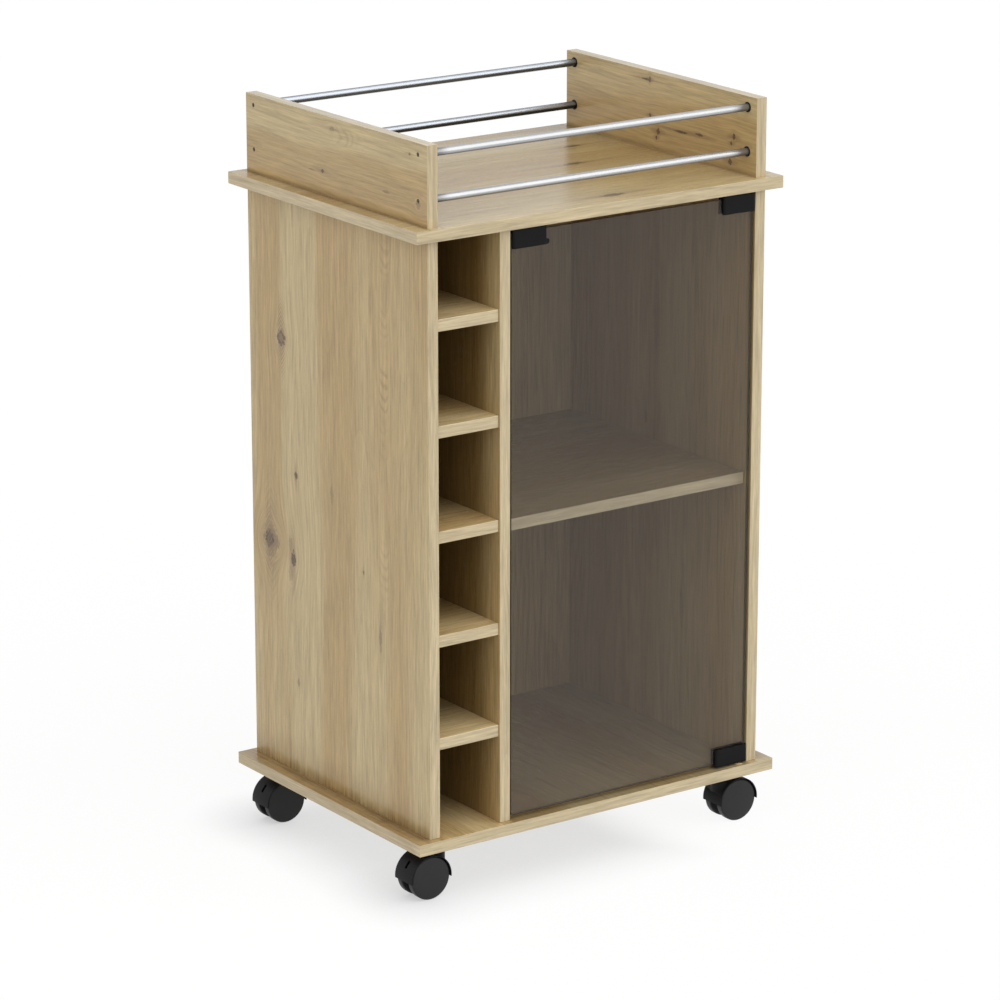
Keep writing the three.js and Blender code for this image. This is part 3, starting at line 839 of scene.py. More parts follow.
def rod_profile(radius, low, high, low_rounding, high_rounding, steps=4):
    """Half the outline of a round rod with rounded ends."""
    rows = ((0, low, 0), (radius, low, low_rounding), (radius, high, high_rounding), (0, high, 0))
    return profile(rows, steps)


def arc(radius, first, last, steps):
    """Points on a circle about the origin from one angle to another."""
    turns = [first + (last - first) * i / steps for i in range(steps + 1)]
    return [(radius * math.cos(turn), radius * math.sin(turn)) for turn in turns]


def turned_mesh(name, outline, steps):
    """A solid turned about Z from (radius, height) points. It is a ring if no point is on Z."""
    bm = bmesh.new()
    rings = []
    for radius, height in outline:
        if radius < ON_AXIS:
            rings.append([bm.verts.new((0, 0, height))] * steps)
        else:
            round_points = arc(radius, 0, 2 * math.pi, steps)[:-1]
            rings.append([bm.verts.new((x, y, height)) for x, y in round_points])
    pairs = list(zip(rings, rings[1:]))
    if all(radius > ON_AXIS for radius, _ in outline):
        pairs.append((rings[-1], rings[0]))
    for low, high in pairs:
        for i in range(steps):
            j = (i + 1) % steps
            corners = list(dict.fromkeys((low[i], low[j], high[j], high[i])))
            if len(corners) > 2:
                bm.faces.new(corners)
    return crease(closed_mesh(name, bm))


def prism_mesh(name, outline, low, high):
    """An outline in X and Y made into a solid between two heights."""
    return lofted_mesh(name, [[(x, y, level) for x, y in outline] for level in (low, high)])


def lofted_mesh(name, rows):
    """A solid through rows of points, closed with a face at each end."""
    bm = bmesh.new()
    rows = [[bm.verts.new(point) for point in row] for row in rows]
    for low, high in zip(rows, rows[1:]):
        for i in range(len(low)):
            j = (i + 1) % len(low)
            bm.faces.new((low[i], low[j], high[j], high[i]))
    bm.faces.new(rows[0])
    bm.faces.new(rows[-1])
    return closed_mesh(name, bm)


def rectangle(x, y):
    return [(x[0], y[0]), (x[1], y[0]), (x[1], y[1]), (x[0], y[1])]


def combine(piece, operation, mesh):
    """Joins another mesh to a piece or cuts it away, and removes that mesh."""
    tool = new_piece("tool", mesh)
    joint = piece.modifiers.new("join", "BOOLEAN")
    joint.operation = operation
    joint.solver = "EXACT"
    joint.object = tool
    make_plain(piece)
    bpy.data.objects.remove(tool)
    bpy.data.meshes.remove(mesh)


def lay_grain(mesh, along, shift):
    """Writes the grain map, in metres, and marks the narrow faces as edge band."""
    corners = [v.co for v in mesh.vertices]
    sizes = [max(c[i] for c in corners) - min(c[i] for c in corners) for i in range(3)]
    thin = sizes.index(min(sizes))
    mesh.uv_layers.new(name="grain")
    mesh.attributes.new("edge_band", "FLOAT", "CORNER")
    grain = mesh.uv_layers["grain"]
    band = mesh.attributes["edge_band"]
    for face in mesh.polygons:
        facing = max(range(3), key=lambda i: abs(face.normal[i]))
        run = along
        if facing == along:
            run = max((i for i in range(3) if i != facing), key=lambda i: sizes[i])
        side = 3 - facing - run
        on_edge = facing != thin
        part = EDGE_PART + EDGE_PART_STEP * facing if on_edge else 0.0
        if face.normal[facing] > 0:
            part += FAR_FACE_PART
        for loop in face.loop_indices:
            spot = mesh.vertices[mesh.loops[loop].vertex_index].co
            grain.data[loop].uv = (spot[run] + shift[0], spot[side] + shift[1] + part)
            band.data[loop].value = float(on_edge)


def shift_for(seed):
    drawn = random.Random(seed)
    return (drawn.uniform(2, 30), drawn.uniform(2, 30))


def dress(piece, material, body, slot, *nodes):
    """Gives a finished piece its material and its body, and hides the nodes it stands for; its slot is
    not used.
    """
    if material is not None:
        piece.data.materials.clear()
        piece.data.materials.append(material)
    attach(piece, body)
    if nodes:
        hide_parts(*nodes)


def make_board(node, along, look, seed=None, radius=None):
    """One faced board, a rounded copy of its node with the grain laid along an axis."""
    piece = copy_of(node, f"{node}_faced")
    round_edges(piece, radius or look.boards.edge_radius)
    low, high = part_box(node)
    for vert in piece.data.vertices:
        vert.co = [min(max(vert.co[i], low[i]), high[i]) for i in range(3)]
    lay_grain(piece.data, along, shift_for(seed) if seed else (0.0, 0.0))
    dress(piece, oak_for(node, look), "cabinet", "oak", node)


def make_fitting(node, kind, radius, look, body="cabinet", steps=3):
    """A rounded copy of a node in its finish."""
    piece = copy_of(node, f"{node}_{MADE_OF[kind]}")
    round_edges(piece, radius, steps)
    dress(piece, finish_for(kind, look), body, kind, node)
    return piece


# ---------------------------------------------------------------- repeated pieces

COPIES = "Copies on points"
RACK_GRAIN_STEP = 1.37
RACK_GRAIN_SLANT = 0.7


def new_tree(name, sockets):
    """A geometry tree with named inputs; sockets are (name, type) pairs."""
    tree = bpy.data.node_groups.new(name, "GeometryNodeTree")
    tree.interface.new_socket("Geometry", in_out="INPUT", socket_type="NodeSocketGeometry")
    for label, kind in sockets:
        tree.interface.new_socket(label, in_out="INPUT", socket_type=kind)
    tree.interface.new_socket("Geometry", in_out="OUTPUT", socket_type="NodeSocketGeometry")
    return tree, Maker(tree)


def run_tree(piece, tree, values):
    """Runs a geometry tree on a piece with these inputs and keeps the plain mesh."""
    work = piece.modifiers.new(tree.name, "NODES")
    work.node_group = tree
    inputs = {}
    for item in tree.interface.items_tree:
        if item.item_type == "SOCKET" and item.in_out == "INPUT":
            inputs[item.name] = item.identifier
    for label, value in values.items():
        work[inputs[label]] = value
    return make_plain(piece)


def copies_tree():
    """Sets a copy of one piece on each point, turned by the point's own angles."""
    if COPIES in bpy.data.node_groups:
        return bpy.data.node_groups[COPIES]
    sockets = (
        ("Piece", "NodeSocketObject"),
        ("Size", "NodeSocketFloat"),
        ("Finish", "NodeSocketMaterial"),
    )
    tree, make = new_tree(COPIES, sockets)
    given = make.add("NodeGroupInput", None, None, "Geometry")
    inputs = {"Object": given.other("Piece"), "As Instance": True}
    source = make.add("GeometryNodeObjectInfo", {"transform_space": "ORIGINAL"}, inputs, "Geometry")
    turn = make.add("FunctionNodeEulerToRotation", None, {"Euler": make.stored("turn", "FLOAT_VECTOR")})
    size = make.point(given.other("Size"), given.other("Size"), given.other("Size"))
    inputs = {"Points": given, "Instance": source, "Rotation": turn, "Scale": size}
    copies = make.add("GeometryNodeInstanceOnPoints", None, inputs)
    plain = make.add("GeometryNodeRealizeInstances", None, {"Geometry": copies})
    make.set_finish(plain, given.other("Finish"))
    return tree


def stack_tree():
    """Stacks copies of the given board at a pitch, each with its own part of the grain."""
    sockets = (
        ("Count", "NodeSocketInt"),
        ("Pitch", "NodeSocketFloat"),
        ("Grain step", "NodeSocketFloat"),
        ("Finish", "NodeSocketMaterial"),
    )
    tree, make = new_tree("Stacked boards", sockets)
    given = make.add("NodeGroupInput", None, None, "Geometry")
    rise = make.point(0.0, 0.0, given.other("Pitch"))
    inputs = {"Count": given.other("Count"), "Offset": rise}
    line = make.add("GeometryNodeMeshLine", None, inputs)
    copies = make.add("GeometryNodeInstanceOnPoints", None, {"Points": line, "Instance": given})
    number = make.add("GeometryNodeInputIndex")
    marked = make.store(copies, "level", number, "FLOAT", "INSTANCE")
    plain = make.add("GeometryNodeRealizeInstances", None, {"Geometry": marked})
    step = make.stored("level", "FLOAT") * given.other("Grain step")
    shift = make.point(step, step * RACK_GRAIN_SLANT)
    inputs = {"Vector": make.stored("grain", "FLOAT_VECTOR"), "Vector_001": shift}
    moved = make.add("ShaderNodeVectorMath", {"operation": "ADD"}, inputs)
    mapped = make.store(plain, "grain", moved, "FLOAT2", "CORNER")
    make.set_finish(mapped, given.other("Finish"))
    return tree


def add_copies(name, source, places, kind, look, body, slot, *nodes):
    """One piece made of a source mesh repeated at (point, euler angles) places."""
    bm = bmesh.new()
    for point, _ in places:
        bm.verts.new(point)
    host = new_piece(name, mesh_from(name, bm))
    turn = host.data.attributes.new("turn", "FLOAT_VECTOR", "POINT")
    for i, (_, angles) in enumerate(places):
        turn.data[i].vector = angles
    original = new_piece("source", source)
    material = finish_for(kind, look)
    run_tree(host, copies_tree(), {"Piece": original, "Size": 1.0, "Finish": material})
    bpy.data.objects.remove(original)
    bpy.data.meshes.remove(source)
    dress(host, material, body, slot, *nodes)


def nodes_named(start):
    """The frame's nodes whose names start so, in order, but not the screws that go with them."""
    return sorted(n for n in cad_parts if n.startswith(start) and "screw" not in n[len(start):])


def centre_of(node):
    low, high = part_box(node)
    return (low + high) / 2


def rod_size(node, axis):
    """The radius of a round bar that lies along an axis, and half its length."""
    low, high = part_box(node)
    return (high.z - low.z) / 2, (high[axis] - low[axis]) / 2


# ---------------------------------------------------------------- settings

def colour_setting(name, description, value):
    return FloatVectorProperty(
        name=name, description=description, subtype="COLOR", size=3, min=0, max=1, default=value
    )


def length_setting(name, description, value):
    return FloatProperty(
        name=name, description=description, default=value, min=0, unit="LENGTH", precision=5
    )


def share_setting(name, description, value, top=1.0):
    return FloatProperty(name=name, description=description, default=value, min=0, max=top)


def angle_setting(name, description, degrees):
    return FloatProperty(
        name=name, description=description, default=math.radians(degrees), subtype="ANGLE"
    )


class BoardSettings(bpy.types.PropertyGroup):
    edge_radius: length_setting("Edge radius", "Rounding of a board's edge band", 0.8 * MM)
    panel_radius: length_setting("Back panel radius", "Rounding of the thin back panel", 0.25 * MM)
    pale_tone: colour_setting("Pale tone", "The lighter bands of the oak", (0.585, 0.456, 0.241))
    warm_tone: colour_setting("Warm tone", "The browner bands of the oak", (0.500, 0.350, 0.157))
    grey_tone: colour_setting("Grey tone", "Thin greyish bands", (0.480, 0.370, 0.188))
    edge_tone: colour_setting("Edge tone", "The edge band", (0.630, 0.530, 0.345))
    stain_tone: colour_setting("Stain tone", "The wood round a knot", (0.36, 0.245, 0.13))
    mark_tone: colour_setting("Mark tone", "V-shaped marks in the grain", (0.25, 0.155, 0.075))
    knot_tone: colour_setting("Knot tone", "A knot", (0.022, 0.012, 0.007))
    # Painted shade deep in the bottle rack.
    rack_shade_tint: colour_setting("Rack tint", "Tints the boards deep in the rack", (0.46, 0.39, 0.27))
    # Painted shade in the cupboard.
    cupboard_shade_tint: colour_setting("Cupboard tint", "Tints the boards in the cupboard", (0.68, 0.68, 0.68))
    # Painted shade inside the tray.
    tray_shade_tint: colour_setting("Tray tint", "Tints the inside of the tray", (0.93, 0.89, 0.78))
    # Painted shade at the feet of the side panels and along the feet of the gallery boards.
    foot_shade_tint: colour_setting("Foot tint", "Tints the foot of the side panels", (0.42, 0.33, 0.22))
    streak_depth: share_setting("Streaks", "How dark the streaks are", 0.36)
    pore_depth: share_setting("Pores", "How dark the pores are", 0.16)
    ring_depth: share_setting("Rings", "How dark the year rings are", 0.09)


class GlassSettings(bpy.types.PropertyGroup):
    tint: colour_setting("Tint", "Colour of the smoked glass", (0.030, 0.021, 0.015))
    body: share_setting("Body", "How much one face of the glass hides", 0.215)
    edge_tint: colour_setting("Edge tint", "Colour at the polished edge", (0.050, 0.034, 0.017))
    edge_body: share_setting("Edge body", "How much the polished edge hides", 0.85)
    edge_radius: length_setting("Edge radius", "Rounding of the polished edge", 0.6 * MM)


class MetalSettings(bpy.types.PropertyGroup):
    chrome: colour_setting("Chrome", "Colour of the rails", (0.535, 0.54, 0.55))
    steel: colour_setting("Steel", "Colour of screws, plates and pins", (0.55, 0.56, 0.57))
    dark_steel: colour_setting("Dark steel", "Colour of the rail screws", (0.10, 0.085, 0.07))
    brass: colour_setting("Brass", "Colour of the hinge bushes", (0.72, 0.54, 0.26))
    magnet: colour_setting("Magnet", "Colour of the catch's magnet", (0.34, 0.34, 0.35))
    coat: colour_setting("Coating", "Colour of the glass clips", (0.006, 0.006, 0.0065))
    clip_radius: length_setting("Clip radius", "Rounding of the clips", 0.7 * MM)


class CasterSettings(bpy.types.PropertyGroup):
    plastic: colour_setting("Hood", "Colour of the hoods", (0.008, 0.008, 0.009))
    wheel: colour_setting("Wheel", "Colour of the wheels", (0.012, 0.012, 0.0125))
    steps: IntProperty(name="Steps", description="Facets round a wheel", default=72, min=24, max=160)


class StageSettings(bpy.types.PropertyGroup):
    floor: colour_setting("Floor", "Colour of the floor", (0.75, 0.75, 0.75))
    floor_seen: colour_setting("Floor where seen", "Its colour in the view", (0.12, 0.12, 0.12))
    shadow: colour_setting("Shadow", "Colour of the floor's glow close to the cart", (0.50, 0.50, 0.50))
    shadow_reach: length_setting("Shadow reach", "How near the cart the glow is hidden", 0.10)
    floor_radius: length_setting("Floor radius", "Half the width of the floor", 16.0)
    floor_glow: share_setting("Floor glow", "Light that the floor gives off in the view", 0.91)
    sky: share_setting("Sky", "Strength of the even light from all round", 0.45, 4.0)
    key: share_setting("Key lamp", "Strength of the soft lamp in front", 1.6, 10.0)
    fill: share_setting("Fill lamp", "Strength of the soft lamp at the left", 1.13, 10.0)
    lens: FloatProperty(name="Lens", description="Focal length", default=156.9, unit="CAMERA")
    azimuth: angle_setting("Azimuth", "Turn of the camera from the front", -35.23)
    elevation: angle_setting("Elevation", "Height of the camera as an angle", 16.44)
    distance: length_setting("Distance", "From the camera to the point it looks at", 5.45)
    target: FloatVectorProperty(
        name="Target",
        description="The point that the camera looks at",
        default=(-0.007, 0.001, 0.424),
        subtype="TRANSLATION",
        unit="LENGTH",
    )


class CartSettings(bpy.types.PropertyGroup):
    boards: PointerProperty(type=BoardSettings)
    glass: PointerProperty(type=GlassSettings)
    metal: PointerProperty(type=MetalSettings)
    casters: PointerProperty(type=CasterSettings)
    stage: PointerProperty(type=StageSettings)


# ---------------------------------------------------------------- boards

class AddDecks(bpy.types.Operator):
    """Adds the base board and the top board"""

    bl_idname = "bar_cart.add_decks"
    bl_label = "Decks"

    def execute(self, context):
        look = context.scene.bar_cart
        make_board("base_board", Y, look, seed=11)
        make_board("top_board", X, look)
        return {"FINISHED"}


class AddCarcass(bpy.types.Operator):
    """Adds the side panels, the divider and the back panel"""

    bl_idname = "bar_cart.add_carcass"
    bl_label = "Carcass"

    def execute(self, context):
        look = context.scene.bar_cart
        make_board("side_panel_left", Z, look)
        make_board("side_panel_right", Z, look)
        make_board("divider_panel", Z, look, seed=23)
        make_board("back_panel", Z, look, seed=24, radius=look.boards.panel_radius)
        return {"FINISHED"}


class AddShelves(bpy.types.Operator):
    """Adds the bottle rack's shelves, the cupboard's shelf and its pins"""

    bl_idname = "bar_cart.add_shelves"
    bl_label = "Shelves"

    def execute(self, context):
        look = context.scene.bar_cart
        nodes = nodes_named("rack_shelf_")
        highest, lowest = nodes[0], nodes[-1]
        pitch = (centre_of(highest).z - centre_of(lowest).z) / (len(nodes) - 1)
        rack = copy_of(lowest, "rack_shelves_faced")
        round_edges(rack, look.boards.edge_radius)
        lay_grain(rack.data, X, shift_for(31))
        oak = oak_for(lowest, look)
        values = {"Count": len(nodes), "Pitch": pitch, "Grain step": RACK_GRAIN_STEP, "Finish": oak}
        run_tree(rack, stack_tree(), values)
        dress(rack, oak, "cabinet", "oak", *nodes)
        make_board("door_shelf", X, look, seed=32)
        self.add_pins(look)
        return {"FINISHED"}

    def add_pins(self, look):
        nodes = nodes_named("shelf_pin_")
        radius, half = rod_size(nodes[0], X)
        outline = rod_profile(radius, -half, half, 0.3 * MM, 0.6 * MM)
        places = []
        for node in nodes:
            turn = QUARTER_TURN if node.endswith("left") else -QUARTER_TURN
            places.append((centre_of(node), (0, turn, 0)))
        pin = turned_mesh("pin", outline, 24)
        add_copies("shelf_pins_steel", pin, places, "steel", look, "cabinet", "steel", *nodes)


class AddGallery(bpy.types.Operator):
    """Adds the two gallery boards, the four rails, their rings and their screws"""

    bl_idname = "bar_cart.add_gallery"
    bl_label = "Tray gallery"

    def execute(self, context):
        look = context.scene.bar_cart
        make_board("gallery_board_left", Y, look)
        make_board("gallery_board_right", Y, look)
        rails = nodes_named("rail_")
        self.add_rails(look, rails)
        self.add_rings(look, rails)
        self.add_screws(look)
        return {"FINISHED"}

    def add_rails(self, look, nodes):
        radius, half = rod_size(nodes[0], X)
        outline = rod_profile(radius, -half, half, 0.8 * MM, 0.8 * MM)
        places = [(centre_of(node), (0, QUARTER_TURN, 0)) for node in nodes]
        rail = turned_mesh("rail", outline, 48)
        add_copies("rails_chrome", rail, places, "chrome", look, "cabinet", "chrome", *nodes)

    def add_rings(self, look, rails):
        """A black ring round each end of each rail, against the gallery board."""
        inner, outer, proud = 4.9 * MM, 6.4 * MM, 0.7 * MM
        corners = [(inner, 0), (outer, 0), (outer, proud), (inner, proud)]
        ring = turned_mesh("ring", softened(corners, [0, 0, 0.35 * MM, 0.2 * MM], 3), 40)
        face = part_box("gallery_board_right")[0].x
        places = []
        for rail in rails:
            _, y, z = centre_of(rail)
            places.append(((face, y, z), (0, -QUARTER_TURN, 0)))
            places.append(((-face, y, z), (0, QUARTER_TURN, 0)))
        kind = "black_plastic"
        add_copies("rail_rings_moulded", ring, places, kind, look, "cabinet", kind)

    def add_screws(self, look):
        nodes = nodes_named("rail_screw_")
        radius, half = rod_size(nodes[0], X)
        places = []
        for node in nodes:
            low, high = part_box(node)
            _, y, z = centre_of(node)
            on_left = node.endswith("left")
            turn = -QUARTER_TURN if on_left else QUARTER_TURN
            places.append(((low.x if on_left else high.x, y, z), (0, turn, 0)))
        screw = screw_mesh("rail screw", radius, 1.5 * MM, 2 * half, 1.5 * MM)
        name, kind = "rail_screws_steel", "dark_steel"
        add_copies(name, screw, places, kind, look, "cabinet", "steel", *nodes)


def screw_mesh(name, head, head_height, length, shank):
    """A countersunk cross-head screw with its top at height 0 and its shank pointing down."""
    rows = (
        (0, -length, 0),
        (shank * 0.5, -length, 0),
        (shank, -length + shank, 0),
        (shank, -head_height, 0),
        (head, -head_height * 0.3, 0.15 * MM),
        (head, 0, 0.2 * MM),
        (0, 0, 0),
    )
    screw = new_piece(name, turned_mesh(name, profile(rows, 3), 24))
    depth = min(head_height * 0.6, head * 0.45)
    wide, thin, taper = head * 0.58, head * 0.13, 0.55
    for turn in (0, QUARTER_TURN):
        bar = prism_mesh("slot", rectangle((-wide, wide), (-thin, thin)), -depth, 1 * MM)
        for vert in bar.vertices:
            if vert.co.z < 0:
                vert.co.x *= taper
        bar.transform(Matrix.Rotation(turn, 4, "Z"))
        combine(screw, "DIFFERENCE", bar)
    return take_mesh(screw)


# ---------------------------------------------------------------- door

CLIPS = ("hinge_clip_top", "hinge_clip_bottom", "strike_clip")
FLAT_FACE = 0.999


class AddGlassDoor(bpy.types.Operator):
    """Adds the smoked glass door"""

    bl_idname = "bar_cart.add_glass_door"
    bl_label = "Glass door"

    def execute(self, context):
        look = context.scene.bar_cart
        glass = look.glass
        low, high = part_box("glass_door")
        outline = softened(rectangle((low.x, high.x), (low.z, high.z)), 3 * MM, 8)
        mesh = prism_mesh("glass_door_pane", outline, -high.y, -low.y)
        mesh.transform(Matrix.Rotation(QUARTER_TURN, 4, "X"))
        pane = new_piece("glass_door_pane", mesh)
        round_edges(pane, glass.edge_radius)
        pane.data.materials.clear()
        pane.data.materials.append(finish_for("smoked_glass", look, body=glass.body))
        pane.data.materials.append(finish_for("smoked_glass_edge", look, body=glass.edge_body))
        for face in pane.data.polygons:
            face.material_index = 0 if abs(face.normal.y) > FLAT_FACE else 1
        dress(pane, None, "door", "smoked_glass", "glass_door")
        return {"FINISHED"}


class AddDoorFittings(bpy.types.Operator):
    """Adds the clips, the pivots, their bushes and the magnetic catch"""

    bl_idname = "bar_cart.add_door_fittings"
    bl_label = "Door fittings"

    def execute(self, context):
        look = context.scene.bar_cart
        for clip in CLIPS:
            make_fitting(clip, "black_metal", look.metal.clip_radius, look, "door")
        self.add_grub_screws(look)
        for end in ("top", "bottom"):
            make_fitting(f"pivot_pin_{end}", "steel", 0.2 * MM, look, "door", steps=2)
            make_fitting(f"pivot_bush_{end}", "brass", 0.2 * MM, look, steps=2)
        make_fitting("catch_housing", "black_plastic", 0.6 * MM, look)
        make_fitting("catch_magnet", "magnet", 0.25 * MM, look, steps=2)
        return {"FINISHED"}

    def add_grub_screws(self, look):
        """Two socket screws in the back of each clip press on the glass."""
        places = []
        for clip in CLIPS:
            low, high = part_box(clip)
            for share in (0.3, 0.7):
                x = low.x + (high.x - low.x) * share
                spot = (x, high.y + 0.1 * MM, centre_of(clip).z)
                places.append((spot, (-QUARTER_TURN, 0, 0)))
        outline = rod_profile(2.4 * MM, -2 * MM, 0, 0, 0.4 * MM, 3)
        screw = new_piece("grub", turned_mesh("grub", outline, 24))
        hexagon = arc(1.3 * MM, 0, 2 * math.pi, 6)[:-1]
        combine(screw, "DIFFERENCE", prism_mesh("socket", hexagon, -1.3 * MM, 1 * MM))
        grub = take_mesh(screw)
        add_copies("clip_screws_steel", grub, places, "steel", look, "door", "steel")


# ---------------------------------------------------------------- casters

CASTERS = [f"caster_{end}_{side}" for side in ("left", "right") for end in ("front", "back")]
NECK_RADIUS = 11.5 * MM
NECK_FOOT = 40 * MM
BORE_RADIUS = 4.3 * MM
BORE_END = 53 * MM
HOOD_WALL = 1.2 * MM
HOOD_DIP = 2.5 * MM
WEB_HALF = 5.5 * MM
WEB_SPARE = 0.01 * MM
WEB_BEHIND = 6 * MM
BOSS_RADIUS = 8 * MM
BOSS_HALF = WEB_HALF + 0.1 * MM
SLOT_TILT = math.radians(-52)


def caster_numbers():
    """The caster's own measures, taken from the front left one about its swivel axis."""
    name = "caster_front_left"
    plate_low, plate_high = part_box(f"{name}_plate")
    hood_low, hood_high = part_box(f"{name}_housing")
    wheel_low, wheel_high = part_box(f"{name}_wheel_front")
    axle = centre_of(f"{name}_axle")
    return {
        "trail": centre_of(f"{name}_plate").x - axle.x,
        "axle_z": axle.z,
        "hood_radius": axle.x - hood_low.x,
        "hood_half": (hood_high.y - hood_low.y) / 2,
        "hood_top": hood_high.z,
        "wheel_radius": axle.z - wheel_low.z,
        "wheel_outer": axle.y - wheel_low.y,
        "wheel_inner": axle.y - wheel_high.y,
        "plate_half": (plate_high.x - plate_low.x) / 2,
    }


def swept_hood(size, steps):
    """The shell over the wheels, swept round the axle."""
    outer = size["hood_radius"]
    inner = outer - HOOD_WALL
    half = size["hood_half"]
    corners = [(outer, -half), (outer, half), (inner, half), (inner, -half)]
    section = softened(corners, [0.8 * MM, 0.8 * MM, 0.2 * MM, 0.2 * MM], 4)
    dip = math.asin(HOOD_DIP / outer)
    rows = []
    for across, up in arc(1.0, -dip, math.pi + dip, steps):
        rows.append([(radius * across, y, radius * up) for radius, y in section])
    return lofted_mesh("hood", rows)


def web_mesh(size, steps):
    """The web between the wheels, a hair too thick until the pockets are cut beside it."""
    radius = size["hood_radius"] - HOOD_WALL / 2
    first = -math.asin(HOOD_DIP / radius)
    last = math.acos(-WEB_BEHIND / radius)
    outline = [(-WEB_BEHIND, -HOOD_DIP)] + arc(radius, first, last, steps)
    half = WEB_HALF + WEB_SPARE
    mesh = prism_mesh("web", outline, -half, half)
    mesh.transform(Matrix.Rotation(QUARTER_TURN, 4, "X"))
    return mesh


def hood_mesh(size, steps):
    """The whole moulding about the swivel axis: neck, shoulder, hood, web and axle boss."""
    top = size["hood_top"]
    rows = (
        (0, NECK_FOOT, 0),
        (NECK_RADIUS, NECK_FOOT, 0),
        (NECK_RADIUS, top, 0.8 * MM),
        (BORE_RADIUS, top, 0.3 * MM),
        (BORE_RADIUS, BORE_END, 0),
        (0, BORE_END, 0),
    )
    moulding = new_piece("moulding", turned_mesh("neck", profile(rows), 64))
    outline = rectangle((-size["trail"], -6.3 * MM), (-9 * MM, 9 * MM))
    shoulder = new_piece("shoulder", prism_mesh("shoulder", outline, NECK_FOOT, top - 3 * MM))
    combine(moulding, "UNION", round_edges(shoulder, 1.2 * MM).data)
    axle = Matrix.Translation((-size["trail"], 0, size["axle_z"]))
    upright = axle @ Matrix.Rotation(QUARTER_TURN, 4, "X")
    web = web_mesh(size, steps // 3)
    web.transform(axle)
    combine(moulding, "UNION", web)
    inner = size["hood_radius"] - HOOD_WALL
    for side in (1, -1):
        low, high = sorted((side * WEB_HALF, side * 22 * MM))
        outline = [(0, low), (inner, low), (inner, high), (0, high)]
        pocket = turned_mesh("pocket", outline, steps)
        pocket.transform(upright)
        combine(moulding, "DIFFERENCE", pocket)
    shell = swept_hood(size, steps // 2)
    shell.transform(axle)
    outline = rod_profile(BOSS_RADIUS, -BOSS_HALF, BOSS_HALF, 0.6 * MM, 0.6 * MM, 3)
    boss = turned_mesh("boss", outline, 40)
    boss.transform(upright)
    for mesh in (shell, boss):
        combine(moulding, "UNION", mesh)
    outline = softened(rectangle((-5.5 * MM, 5.5 * MM), (-2.1 * MM, 2.1 * MM)), 1.4 * MM, 4)
    slot = prism_mesh("slot", outline, -4 * MM, 3 * MM)
    on_hood = Matrix.Rotation(SLOT_TILT, 4, "Y") @ Matrix.Translation((0, 0, size["hood_radius"]))
    slot.transform(axle @ on_hood)
    combine(moulding, "DIFFERENCE", slot)
    return take_mesh(moulding)


def wheel_mesh(size, steps):
    """One wheel of a pair, about its own middle, with its outer face towards +Z."""
    rim = size["wheel_radius"]
    outer = size["wheel_outer"]
    inner = size["wheel_inner"]
    rows = (
        (0, outer, 0),
        (rim * 0.45, outer - 0.25 * MM, 6 * MM),
        (rim * 0.75, outer - 0.8 * MM, 5 * MM),
        (rim - 1.5 * MM, outer - 1.5 * MM, 0.9 * MM),
        (rim, outer - 2.8 * MM, 0.9 * MM),
        (rim, inner + 1 * MM, 0.8 * MM),
        (rim - 1 * MM, inner, 0.5 * MM),
        (rim - 3.2 * MM, inner, 0.3 * MM),
        (rim - 3.8 * MM, inner + 2 * MM, 0.4 * MM),
        (7 * MM, inner + 2 * MM, 0.4 * MM),
        (6.4 * MM, inner, 0.3 * MM),
        (3.1 * MM, inner, 0.2 * MM),
        (3.1 * MM, inner + 8.5 * MM, 0),
        (0, inner + 8.5 * MM, 0),
    )
    return turned_mesh("wheel", profile(rows), steps)


